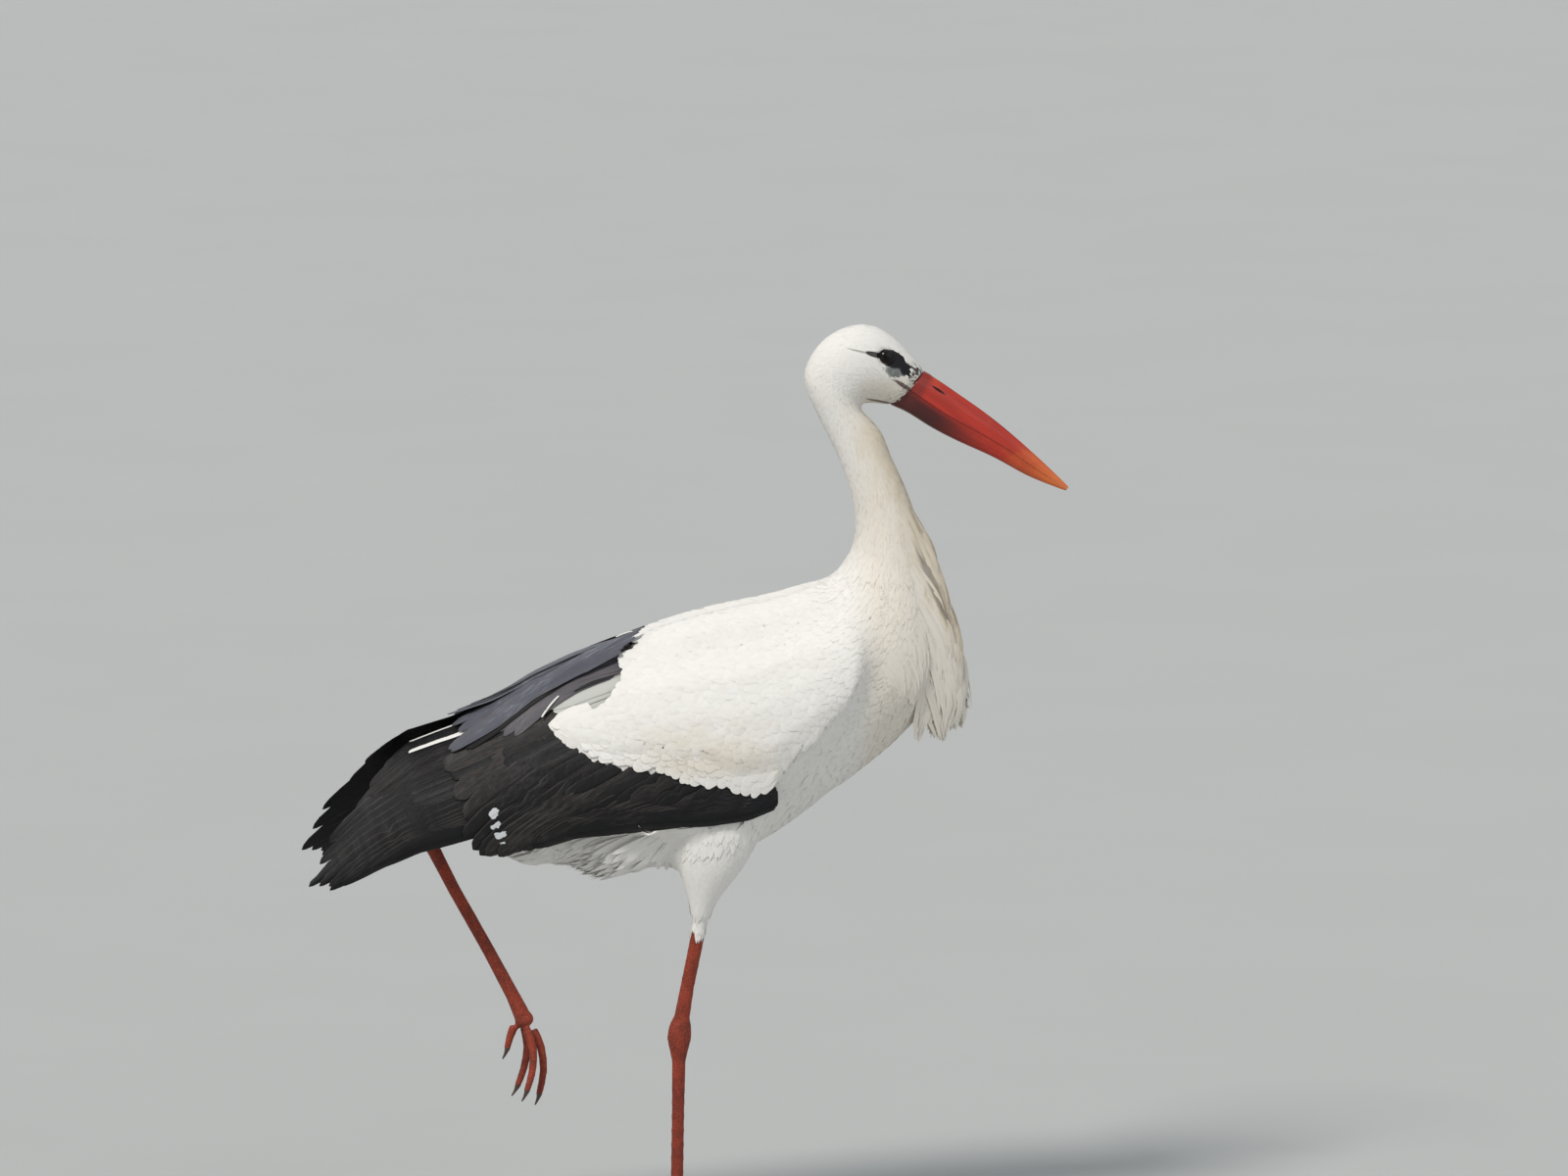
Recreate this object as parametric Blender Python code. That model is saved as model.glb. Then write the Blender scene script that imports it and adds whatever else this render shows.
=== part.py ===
# A life-size white stork in mid-step: it stands on its right leg and carries the left one behind.
# Metres, +Z up, +X the way the bird faces, +Y its left side. The soles rest on Z = 0.
import bpy
import bmesh
from math import acos, cos, pi, radians, sin, sqrt
from mathutils import Vector
from mathutils.bvhtree import BVHTree

# ---- driving sizes -------------------------------------------------------------------------
GAP = 0.0003            # clear space where two parts meet
CLEAR = 0.0012          # space under a curved panel, so its flats pass over the round body
THIN = 0.0010           # thickness of a panel at its edge
BODY_SIDES = 20         # sides of the round sections of the body
LEG_SIDES = 10
TOE_SIDES = 8
EYE_RADIUS = 0.0082
EYE_AT = (0.2037, 0.0212, 0.8920)
PANEL_ROWS = 4
OVERLAY = 0.0043         # how far the coverts and shoulder feathers lie over the flight feathers
HANG = 0.0065           # extra length of every second feather tip along a ragged edge

# ---- sections of the body: top X, top Z, bottom X, bottom Z, half width ----------------------
HEAD = (
    (0.2433, 0.8762, 0.2104, 0.8439, 0.0135),
    (0.2327, 0.8901, 0.1978, 0.8456, 0.0172),
    (0.2181, 0.9059, 0.1881, 0.8460, 0.0213),
    (0.1968, 0.9200, 0.1832, 0.8462, 0.0242),
    (0.1726, 0.9215, 0.1813, 0.8455, 0.0252),
    (0.1474, 0.9094, 0.1803, 0.8436, 0.0243),
    (0.1309, 0.8884, 0.1813, 0.8406, 0.0228),
    (0.1270, 0.8691, 0.1842, 0.8357, 0.0219),
    (0.1328, 0.8495, 0.1919, 0.8287, 0.0216),
)
NECK_UPPER = (
    (0.1328, 0.8495, 0.1919, 0.8287, 0.0216),
    (0.1454, 0.8239, 0.2026, 0.8149, 0.0216),
    (0.1580, 0.7984, 0.2113, 0.7924, 0.0222),
    (0.1677, 0.7729, 0.2230, 0.7678, 0.0236),
)
NECK_LOWER = (
    (0.1677, 0.7729, 0.2230, 0.7678, 0.0236),
    (0.1755, 0.7465, 0.2340, 0.7383, 0.0264),
    (0.1774, 0.7221, 0.2423, 0.7090, 0.0304),
    (0.1735, 0.7009, 0.2496, 0.6719, 0.0362),
)
BREAST = (
    (0.1735, 0.7009, 0.2496, 0.6719, 0.0362),
    (0.1680, 0.6930, 0.2560, 0.6410, 0.0450),
    (0.1630, 0.6855, 0.2600, 0.6050, 0.0545),
    (0.1580, 0.6790, 0.2570, 0.5650, 0.0610),
    (0.1520, 0.6730, 0.2310, 0.5280, 0.0670),
    (0.1460, 0.6680, 0.1880, 0.4900, 0.0720),
    (0.1400, 0.6640, 0.1400, 0.4550, 0.0760),
)
TRUNK = (
    (0.1400, 0.6640, 0.1400, 0.4550, 0.0760),
    (0.1000, 0.6510, 0.1000, 0.4270, 0.0785),
    (0.0600, 0.6440, 0.0600, 0.4060, 0.0785),
    (0.0200, 0.6360, 0.0200, 0.3970, 0.0770),
    (-0.0200, 0.6255, -0.0200, 0.3925, 0.0730),
    (-0.0600, 0.6085, -0.0600, 0.3950, 0.0665),
    (-0.1000, 0.5850, -0.1000, 0.4010, 0.0540),
    (-0.1400, 0.5560, -0.1400, 0.4030, 0.0410),
    (-0.1700, 0.5330, -0.1620, 0.4230, 0.0370),
    (-0.1950, 0.5230, -0.1900, 0.4600, 0.0310),
)
TAIL = (
    (-0.1950, 0.5230, -0.1900, 0.4600, 0.0310),
    (-0.2200, 0.5130, -0.2150, 0.4680, 0.0320),
    (-0.2550, 0.4950, -0.2500, 0.4680, 0.0330),
    (-0.2900, 0.4730, -0.2880, 0.4570, 0.0310),
    (-0.3200, 0.4520, -0.3190, 0.4460, 0.0240),
)
# The surface the folded wings lie on: X, top Z, bottom Z, half width.
CARRIER = (
    (0.2000, 0.6880, 0.4600, 0.0700),
    (0.1700, 0.6860, 0.4450, 0.0800),
    (0.1400, 0.6700, 0.4200, 0.0825),
    (0.1000, 0.6560, 0.3950, 0.0840),
    (0.0600, 0.6490, 0.3750, 0.0840),
    (0.0200, 0.6410, 0.3650, 0.0825),
    (-0.0200, 0.6310, 0.3620, 0.0790),
    (-0.0600, 0.6150, 0.3600, 0.0745),
    (-0.1000, 0.5980, 0.3600, 0.0695),
    (-0.1400, 0.5780, 0.3580, 0.0645),
    (-0.1800, 0.5530, 0.3560, 0.0585),
    (-0.2200, 0.5340, 0.3520, 0.0530),
    (-0.2600, 0.5180, 0.3470, 0.0470),
    (-0.3000, 0.4900, 0.3400, 0.0410),
    (-0.3400, 0.4560, 0.3320, 0.0350),
    (-0.3800, 0.4200, 0.3220, 0.0290),
)
LEFT_LIFT = 0.024        # how much higher the left wing's hand lies over the tail at its tip
LIFT_FROM = -0.1500      # the lift grows from here to the tip
LIFT_TO = -0.3600

# ---- bill: lengthwise stations: top, mouth line and bottom as X, Z, then half width ----------
BILL = (
    (0.2437, 0.8760, 0.2270, 0.8600, 0.2108, 0.8436, 0.0128),
    (0.2600, 0.8660, 0.2430, 0.8487, 0.2290, 0.8345, 0.0121),
    (0.2810, 0.8510, 0.2640, 0.8344, 0.2500, 0.8205, 0.0111),
    (0.3060, 0.8330, 0.2920, 0.8183, 0.2790, 0.8050, 0.0097),
    (0.3330, 0.8105, 0.3230, 0.8000, 0.3130, 0.7895, 0.0079),
    (0.3580, 0.7875, 0.3510, 0.7800, 0.3430, 0.7720, 0.0057),
    (0.3770, 0.7690, 0.3735, 0.7648, 0.3700, 0.7605, 0.0033),
    (0.3865, 0.7590, 0.3852, 0.7573, 0.3838, 0.7555, 0.0014),
)

# ---- legs: X, Y, Z, radius along, radius across ---------------------------------------------
THIGH_RIGHT = (
    (0.0330, -0.0440, 0.5200, 0.0460, 0.0240),
    (0.0360, -0.0455, 0.4700, 0.0500, 0.0265),
    (0.0330, -0.0450, 0.4300, 0.0420, 0.0255),
    (0.0270, -0.0430, 0.4010, 0.0315, 0.0215),
    (0.0230, -0.0405, 0.3800, 0.0210, 0.0160),
    (0.0205, -0.0385, 0.3620, 0.0125, 0.0115),
    (0.0195, -0.0372, 0.3490, 0.0090, 0.0085),
)
SHANK_RIGHT = (
    (0.0195, -0.0372, 0.3490, 0.0074, 0.0062),
    (0.0150, -0.0345, 0.3200, 0.0070, 0.0058),
    (0.0075, -0.0300, 0.2800, 0.0069, 0.0057),
    (0.0025, -0.0262, 0.2480, 0.0080, 0.0070),
)
ANKLE_RIGHT = (
    (0.0025, -0.0262, 0.2480, 0.0082, 0.0074),
    (0.0010, -0.0250, 0.2380, 0.0112, 0.0094),
    (0.0002, -0.0240, 0.2270, 0.0118, 0.0098),
    (0.0000, -0.0230, 0.2150, 0.0092, 0.0082),
    (0.0000, -0.0222, 0.2050, 0.0072, 0.0064),
)
TARSUS_RIGHT = (
    (0.0000, -0.0222, 0.2050, 0.0070, 0.0062),
    (0.0000, -0.0168, 0.1600, 0.0063, 0.0055),
    (0.0000, -0.0084, 0.0900, 0.0063, 0.0055),
    (0.0000, -0.0024, 0.0400, 0.0070, 0.0066),
    (0.0000, -0.0002, 0.0220, 0.0086, 0.0090),
)
THIGH_LEFT = (
    (0.0100, 0.0430, 0.5080, 0.0400, 0.0200),
    (-0.0300, 0.0450, 0.4960, 0.0340, 0.0190),
    (-0.0700, 0.0490, 0.4840, 0.0240, 0.0150),
    (-0.1000, 0.0512, 0.4745, 0.0150, 0.0105),
    (-0.1210, 0.0515, 0.4675, 0.0095, 0.0078),
)
SHANK_LEFT = (
    (-0.1210, 0.0515, 0.4675, 0.0070, 0.0058),
    (-0.1600, 0.0485, 0.4545, 0.0066, 0.0055),
    (-0.2000, 0.0435, 0.4420, 0.0066, 0.0055),
    (-0.2240, 0.0405, 0.4350, 0.0078, 0.0070),
)
ANKLE_LEFT = (
    (-0.2240, 0.0405, 0.4350, 0.0080, 0.0072),
    (-0.2330, 0.0398, 0.4325, 0.0104, 0.0088),
    (-0.2385, 0.0395, 0.4280, 0.0108, 0.0090),
    (-0.2375, 0.0400, 0.4190, 0.0092, 0.0080),
    (-0.2330, 0.0405, 0.4090, 0.0072, 0.0064),
)
TARSUS_LEFT = (
    (-0.2330, 0.0405, 0.4090, 0.0070, 0.0062),
    (-0.2130, 0.0425, 0.3690, 0.0063, 0.0055),
    (-0.1790, 0.0460, 0.3070, 0.0063, 0.0055),
    (-0.1540, 0.0490, 0.2590, 0.0070, 0.0066),
    (-0.1462, 0.0500, 0.2420, 0.0084, 0.0088),
)
# Toes of the standing foot: name, heading in degrees from +X, length of the flesh, root radius.
TOES = (
    ("inner", 42.0, 0.0590, 0.0056),
    ("middle", 2.0, 0.0770, 0.0060),
    ("outer", -38.0, 0.0640, 0.0056),
    ("hind", 192.0, 0.0300, 0.0050),
)
FOOT_CENTRE = (0.0000, 0.0000)
TOE_TIP = 0.0034         # radius of the last toe pad
CLAW_LENGTH = 0.0105
CLAW_RADIUS = 0.0026
FOOT_TOP = 0.0210
PAD_RADIUS = 0.0125
MIDDLE = 1.80            # degrees from the top of the back to a panel that ends on its middle line
SOLE = 0.60              # height of a toe's middle over the floor, as a share of its radius
# Toes of the lifted foot: name, then points X, Y, Z down the toe.
LIFTED_TOES = (
    ("inner", ((-0.1420, 0.0415, 0.2270), (-0.1360, 0.0370, 0.2080), (-0.1375, 0.0330, 0.1860),
               (-0.1430, 0.0310, 0.1680))),
    ("middle", ((-0.1345, 0.0495, 0.2250), (-0.1270, 0.0485, 0.2080), (-0.1245, 0.0480, 0.1840),
                (-0.1290, 0.0475, 0.1610))),
    ("outer", ((-0.1420, 0.0585, 0.2265), (-0.1385, 0.0620, 0.2060), (-0.1420, 0.0655, 0.1830),
               (-0.1480, 0.0670, 0.1660))),
    ("hind", ((-0.1530, 0.0500, 0.2290), (-0.1570, 0.0500, 0.2190), (-0.1600, 0.0500, 0.2070))),
)
LIFTED_CENTRE = (-0.1432, 0.0500, 0.2340)

# ---- wing panels on the right side: upper and lower edge, each X, Z from front to rear -------
# An upper edge along the back gives degrees round from the top in place of Z.
MANTLE_UP = ((0.147, MIDDLE), (0.110, MIDDLE), (0.060, MIDDLE), (0.010, MIDDLE), (-0.045, MIDDLE))
MANTLE_LOW = ((0.143, 0.648), (0.105, 0.630), (0.055, 0.618), (0.000, 0.606), (-0.050, 0.592))
COVERT_UP = ((0.176, 0.604), (0.160, 0.640), (0.105, 0.6285), (0.055, 0.6165), (0.000, 0.6045),
             (-0.048, 0.5905), (-0.090, 0.5800), (-0.1400, 0.5570))
COVERT_LOW = ((0.170, 0.582), (0.143, 0.547), (0.112, 0.516), (0.072, 0.481), (0.036, 0.488),
              (-0.030, 0.5020), (-0.0900, 0.5120), (-0.1300, 0.5400))
SECOND_UP = ((0.0710, 0.4790), (0.0360, 0.4870), (0.0000, 0.4950), (-0.0300, 0.5010),
             (-0.0900, 0.5105), (-0.1320, 0.5390), (-0.1550, 0.5480), (-0.1960, 0.5270))
SECOND_LOW = ((0.0740, 0.4660), (0.0400, 0.4470), (-0.0100, 0.4430), (-0.0580, 0.4460),
              (-0.0970, 0.4390), (-0.1360, 0.4280), (-0.1650, 0.4190), (-0.1800, 0.4210))
PRIMARY_UP = ((-0.1975, 0.5260), (-0.2200, 0.5120), (-0.2500, 0.5000), (-0.2780, 0.4860),
              (-0.3020, 0.4640), (-0.3240, 0.4380), (-0.3440, 0.4060))
PRIMARY_LOW = ((-0.1815, 0.4200), (-0.2100, 0.4240), (-0.2400, 0.4300), (-0.2700, 0.4230),
               (-0.2950, 0.4080), (-0.3200, 0.3960), (-0.3400, 0.3890))
SCAP_UP = ((-0.0470, MIDDLE), (-0.0900, MIDDLE), (-0.1300, MIDDLE), (-0.1650, 4.0),
           (-0.1950, 10.0), (-0.2180, 24.0))
SCAP_LOW = ((-0.0515, 0.5910), (-0.0920, 0.5810), (-0.1400, 0.5585), (-0.1600, 0.5510),
            (-0.1980, 0.5290), (-0.2300, 0.5080))

# ---- the loose feathers hanging on the front of the breast: Z, front X, half width ------------
PLUMES = (
    (0.7226, 0.2455, 0.0150),
    (0.6962, 0.2535, 0.0240),
    (0.6707, 0.2608, 0.0310),
    (0.6463, 0.2685, 0.0370),
    (0.6159, 0.2782, 0.0410),
    (0.5896, 0.2831, 0.0420),
    (0.5650, 0.2868, 0.0400),
    (0.5447, 0.2886, 0.0360),
    (0.5270, 0.2860, 0.0300),
)
PLUME_COLUMNS = 10
PLUME_DROP = 0.012       # how far every second plume hangs below its neighbours

# ---- colours -----------------------------------------------------------------------------------
WHITE = ("white_plumage", (0.86, 0.83, 0.76), 0.85)
CREAM = ("cream_plumes", (0.74, 0.65, 0.50), 0.85)
BLACK = ("black_plumage", (0.020, 0.018, 0.018), 0.60)
SILVER = ("dark_plumage", (0.075, 0.075, 0.085), 0.60)
RED_HORN = ("bill_horn", (0.58, 0.075, 0.025), 0.40)
RED_SKIN = ("leg_skin", (0.40, 0.045, 0.025), 0.55)
CLAW_HORN = ("claw_horn", (0.05, 0.03, 0.025), 0.40)
EYE_DARK = ("eye_dark", (0.015, 0.011, 0.010), 0.08)


def material(kind):
    """The named material of a part."""
    name, colour, rough = kind
    made = bpy.data.materials.get(name)
    if made is None:
        made = bpy.data.materials.new(name)
        made.use_nodes = True
        shader = made.node_tree.nodes["Principled BSDF"]
        shader.inputs["Base Color"].default_value = (*colour, 1.0)
        shader.inputs["Roughness"].default_value = rough
        shader.inputs["Metallic"].default_value = 0.0
        made.diffuse_color = (*colour, 1.0)
    return made


def solid(name, points, faces, kind, smooth=True):
    """One closed body, its faces turned outward."""
    mesh = bpy.data.meshes.new(name)
    mesh.from_pydata([tuple(p) for p in points], [], faces)
    work = bmesh.new()
    work.from_mesh(mesh)
    bmesh.ops.remove_doubles(work, verts=work.verts, dist=0.00001)
    bmesh.ops.recalc_face_normals(work, faces=work.faces)
    if work.calc_volume(signed=True) < 0.0:
        bmesh.ops.reverse_faces(work, faces=work.faces)
    for face in work.faces:
        face.smooth = smooth
    work.to_mesh(mesh)
    work.free()
    thing = bpy.data.objects.new(name, mesh)
    bpy.context.scene.collection.objects.link(thing)
    mesh.materials.append(material(kind))
    return thing


def curve(rows, steps):
    """A smooth curve through the rows, with this many steps between each two."""
    out = []
    last = len(rows) - 1
    for i in range(last):
        a, b = rows[max(i - 1, 0)], rows[i]
        c, d = rows[i + 1], rows[min(i + 2, last)]
        for k in range(steps):
            t = k / steps
            out.append(tuple(
                q + 0.5 * t * (r - p + t * (2 * p - 5 * q + 4 * r - s + t * (3 * (q - r) + s - p)))
                for p, q, r, s in zip(a, b, c, d)))
    out.append(tuple(rows[last]))
    return out


def along(rows, share):
    """The row at this share of the way through evenly numbered rows."""
    at = min(max(share, 0.0), 1.0) * (len(rows) - 1)
    i = min(int(at), len(rows) - 2)
    t = at - i
    return [a + (b - a) * t for a, b in zip(rows[i], rows[i + 1])]


def lookup(rows, x):
    """The values of a table sorted by falling first value, read at x."""
    if x >= rows[0][0]:
        return rows[0][1:]
    for a, b in zip(rows, rows[1:]):
        if x >= b[0]:
            t = (a[0] - x) / (a[0] - b[0])
            return [p + (q - p) * t for p, q in zip(a[1:], b[1:])]
    return rows[-1][1:]


def rings_to_solid(name, rings, kind):
    """Joins equal rings of points into a closed tube with flat ends."""
    sides = len(rings[0])
    points = [p for ring in rings for p in ring]
    faces = []
    for i in range(len(rings) - 1):
        for k in range(sides):
            n = (k + 1) % sides
            faces.append((i * sides + k, i * sides + n, (i + 1) * sides + n, (i + 1) * sides + k))
    faces.append(tuple(range(sides)))
    faces.append(tuple((len(rings) - 1) * sides + k for k in range(sides)))
    return solid(name, points, faces, kind)


def body_ring(row, sides):
    """An oval section between a top and a bottom point on the middle plane."""
    top = Vector((row[0], 0.0, row[1]))
    low = Vector((row[2], 0.0, row[3]))
    middle, half = (top + low) / 2, (top - low) / 2
    ring = []
    for k in range(sides):
        a = 2 * pi * k / sides
        ring.append(middle + half * cos(a) + Vector((0.0, row[4] * sin(a), 0.0)))
    return ring


def shift_end(rings, gap):
    """Moves the last ring back along the tube by the gap, to stay clear of the next part."""
    a = sum(rings[-2], Vector()) / len(rings[-2])
    b = sum(rings[-1], Vector()) / len(rings[-1])
    step = (a - b).normalized() * gap
    rings[-1] = [p + step for p in rings[-1]]
    return rings


def body_part(name, rows, steps, kind):
    rings = [body_ring(row, BODY_SIDES) for row in curve(rows, steps)]
    return rings_to_solid(name, shift_end(rings, GAP * 1.6), kind)


def limb(name, path, kind, sides, lead=None, follow=None):
    """A tube along a path, each row X, Y, Z and the radii in the plane of the stride and across.

    The ends are cut square to the way the limb runs through them, given its neighbours' points."""
    rings = []
    for i, row in enumerate(path):
        here = Vector(row[:3])
        before = path[i - 1] if i else lead
        after = path[i + 1] if i < len(path) - 1 else follow
        way = Vector((0.0, 0.0, 0.0))
        if before:
            way += (here - Vector(before[:3])).normalized()
        if after:
            way += (Vector(after[:3]) - here).normalized()
        way.normalize()
        fore = Vector((0.0, 1.0, 0.0)).cross(way).normalized()
        side = way.cross(fore).normalized()
        rings.append([here + fore * row[3] * cos(2 * pi * k / sides)
                      + side * row[4] * sin(2 * pi * k / sides) for k in range(sides)])
        if i == len(path) - 1 and follow:
            rings[-1] = [p - way * GAP * 1.2 for p in rings[-1]]
    return rings_to_solid(name, rings, kind)


def leg(word, parts):
    """The parts of a leg from the thigh down, end to end."""
    paths = [curve(rows, steps) for _, rows, steps, _, _ in parts]
    made = []
    for i, (name, _, _, kind, sides) in enumerate(parts):
        lead = paths[i - 1][-2] if i else None
        follow = paths[i + 1][1] if i < len(parts) - 1 else None
        made.append(limb(name + "_" + word, paths[i], kind, sides, lead, follow))
    return made


def swollen(thing, by):
    """A copy of a body grown outward, for cutting a clear space."""
    copy = bpy.data.objects.new(thing.name + "_cutter", thing.data.copy())
    bpy.context.scene.collection.objects.link(copy)
    normals = [v.normal.copy() for v in copy.data.vertices]
    for vertex, normal in zip(copy.data.vertices, normals):
        vertex.co += normal * by
    copy.hide_render = True
    copy.display_type = "WIRE"
    return copy


def cut(thing, cutter):
    """Takes the cutter's space out of a body for good."""
    step = thing.modifiers.new("cut", "BOOLEAN")
    step.operation = "DIFFERENCE"
    step.solver = "EXACT"
    step.object = cutter
    made = bpy.data.meshes.new_from_object(
        thing.evaluated_get(bpy.context.evaluated_depsgraph_get()))
    thing.modifiers.clear()
    old = thing.data
    thing.data = made
    made.name = thing.name
    bpy.data.meshes.remove(old)
    work = bmesh.new()
    work.from_mesh(made)
    bmesh.ops.dissolve_degenerate(work, edges=work.edges, dist=0.00002)
    bmesh.ops.remove_doubles(work, verts=work.verts, dist=0.00002)
    bmesh.ops.triangulate(work, faces=[f for f in work.faces if len(f.verts) > 4])
    work.to_mesh(made)
    work.free()


def carrier_angle(x, z):
    """How far round from the top of the back a height lies, on the surface the wings lie on."""
    top, low, _ = lookup(CARRIER, x)
    return acos(min(max((z - (top + low) / 2) / ((top - low) / 2), -0.98), 1.0))


def carrier_point(x, angle, off, side):
    """A point on that surface, raised by off. Side is -1 for right and +1 for left."""
    top, low, half = lookup(CARRIER, x)
    lift = 0.0
    if side > 0 and x < LIFT_FROM:
        lift = LEFT_LIFT * min((LIFT_FROM - x) / (LIFT_FROM - LIFT_TO), 1.2)
    height = (top + low) / 2 + ((top - low) / 2 + off) * cos(angle) + lift
    return Vector((x, side * (half + off) * sin(angle), height))


def panel(name, side, upper, lower, depth, columns, kind, ragged=False, fingers=0.0, inner=0.0):
    """A curved layer of feathers between an upper and a lower edge, thin at its rim."""
    over, under = [], []
    for i in range(columns + 1):
        share = i / columns
        xu, zu = along(curve(upper, 4), share)
        xl, zl = along(curve(lower, 4), share)
        if ragged and 0 < i < columns and i % 2:
            zl -= HANG
        start = radians(zu) if zu > 1.0 else carrier_angle(xu, zu)
        end = carrier_angle(xl, zl)
        outside, inside = [], []
        for j in range(PANEL_ROWS + 1):
            f = j / PANEL_ROWS
            x = xu + (xl - xu) * f
            if fingers and i == columns:
                x -= fingers * (1.0 if j % 2 else 0.15) * sin(pi * min(max(f, 0.12), 0.88))
            swell = sqrt(max(sin(pi * f), 0.0)) * sqrt(max(sin(pi * share), 0.0))
            angle = start + (end - start) * f
            outside.append(carrier_point(x, angle, inner + THIN + (depth - THIN) * swell, side))
            inside.append(carrier_point(x, angle, inner, side))
        over.append(outside)
        under.append(inside)
    points = [p for line in over for p in line] + [p for line in under for p in line]
    wide = PANEL_ROWS + 1
    shift = wide * (columns + 1)
    faces = []
    for i in range(columns):
        for j in range(PANEL_ROWS):
            a = i * wide + j
            faces.append((a, a + 1, a + wide + 1, a + wide))
            faces.append((shift + a + wide, shift + a + wide + 1, shift + a + 1, shift + a))
    for i in range(columns):
        a, b = i * wide, i * wide + PANEL_ROWS
        faces.append((a + wide, shift + a + wide, shift + a, a))
        faces.append((b, shift + b, shift + b + wide, b + wide))
    for j in range(PANEL_ROWS):
        a, b = j, columns * wide + j
        faces.append((a, shift + a, shift + a + 1, a + 1))
        faces.append((b + 1, shift + b + 1, shift + b, b))
    return solid(name, points, faces, kind)


def breast_plumes(bodies):
    """Loose feathers hanging in front of the breast, lying on the neck and breast bodies."""
    trees = []
    for body in bodies:
        trees.append(BVHTree.FromPolygons([v.co for v in body.data.vertices],
                                          [tuple(p.vertices) for p in body.data.polygons]))
    rows = PLUMES
    over, under = [], []
    for i, (height, front, half) in enumerate(rows):
        outside, inside = [], []
        for k in range(PLUME_COLUMNS + 1):
            s = 2.0 * k / PLUME_COLUMNS - 1.0
            drop = PLUME_DROP * (k % 2) if i == len(rows) - 1 else 0.0
            spot = Vector((1.0, s * half, height - drop))
            reach = 0.2
            for tree in trees:
                hit = tree.ray_cast(spot, Vector((-1.0, 0.0, 0.0)))
                if hit[0] is not None:
                    reach = max(reach, hit[0].x)
            back = reach + CLEAR * (1.6 + 2.4 * s * s * s * s) + GAP
            ahead = max(back + 0.0015, back + (front - back) * (1.0 - s * s * s * s * 0.96))
            if drop:
                ahead -= 0.35 * (ahead - back)
                back += 0.25 * (ahead - back)
            outside.append(Vector((ahead, spot.y, spot.z)))
            inside.append(Vector((back, spot.y, spot.z)))
        over.append(outside)
        under.append(inside)
    wide = PLUME_COLUMNS + 1
    points = [p for line in over for p in line] + [p for line in under for p in line]
    shift = wide * len(rows)
    faces = []
    for i in range(len(rows) - 1):
        for j in range(PLUME_COLUMNS):
            a = i * wide + j
            faces.append((a, a + 1, a + wide + 1, a + wide))
            faces.append((shift + a + wide, shift + a + wide + 1, shift + a + 1, shift + a))
        a, b = i * wide, i * wide + PLUME_COLUMNS
        faces.append((a + wide, shift + a + wide, shift + a, a))
        faces.append((b, shift + b, shift + b + wide, b + wide))
    for j in range(PLUME_COLUMNS):
        a, b = j, (len(rows) - 1) * wide + j
        faces.append((a, shift + a, shift + a + 1, a + 1))
        faces.append((b + 1, shift + b + 1, shift + b, b))
    return solid("breast_plumes", points, faces, CREAM)


def bill():
    """Upper and lower half of the bill, split along the mouth line."""
    rows = curve(BILL, 2)
    uppers, lowers = [], []
    for row in rows:
        top = Vector((row[0], 0.0, row[1]))
        mouth = Vector((row[2], 0.0, row[3]))
        low = Vector((row[4], 0.0, row[5]))
        half = row[6]
        up, down = top - mouth, low - mouth
        start = up.normalized() * GAP / 2
        over, under = [], []
        for k in range(9):
            a = pi * k / 8
            over.append(mouth + start + (up - start) * (sin(a) ** 0.85 if 0 < k < 8 else 0.0)
                        + Vector((0.0, half * cos(a), 0.0)))
            under.append(mouth - start + (down + start) * (sin(a) ** 0.80 if 0 < k < 8 else 0.0)
                         + Vector((0.0, half * 0.94 * cos(a), 0.0)))
        uppers.append(over)
        lowers.append(under)
    forward = Vector((GAP * 1.5, 0.0, -GAP))
    uppers[0] = [p + forward for p in uppers[0]]
    lowers[0] = [p + forward for p in lowers[0]]
    rings_to_solid("bill_upper", uppers, RED_HORN)
    rings_to_solid("bill_lower", lowers, RED_HORN)


def eye(name, side):
    """A ball set into the side of the head."""
    rings, turns = 7, 12
    centre = Vector((EYE_AT[0], side * (EYE_AT[1] - 0.004), EYE_AT[2]))
    points = []
    for i in range(1, rings):
        for k in range(turns):
            a, b = pi * i / rings, 2 * pi * k / turns
            spot = Vector((sin(a) * cos(b), 0.72 * cos(a), sin(a) * sin(b))) * EYE_RADIUS
            points.append(centre + spot)
    ends = len(points)
    points += [centre + Vector((0.0, 0.72 * EYE_RADIUS * way, 0.0)) for way in (1, -1)]
    faces = []
    for k in range(turns):
        n = (k + 1) % turns
        for i in range(rings - 2):
            faces.append((i * turns + k, i * turns + n, (i + 1) * turns + n, (i + 1) * turns + k))
        faces.append((n, k, ends))
        faces.append(((rings - 2) * turns + k, (rings - 2) * turns + n, ends + 1))
    return solid(name, points, faces, EYE_DARK)


def floor_ring(middle, way, radius, sides):
    """A round section over the floor, flat where it would go below."""
    side = Vector((0.0, 0.0, 1.0)).cross(way).normalized()
    ring = []
    for k in range(sides):
        a = 2 * pi * (k + 0.5) / sides - pi / 2
        p = middle + side * radius * cos(a) + Vector((0.0, 0.0, radius * sin(a)))
        p.z = max(p.z, 0.0)
        ring.append(p)
    return ring


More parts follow.
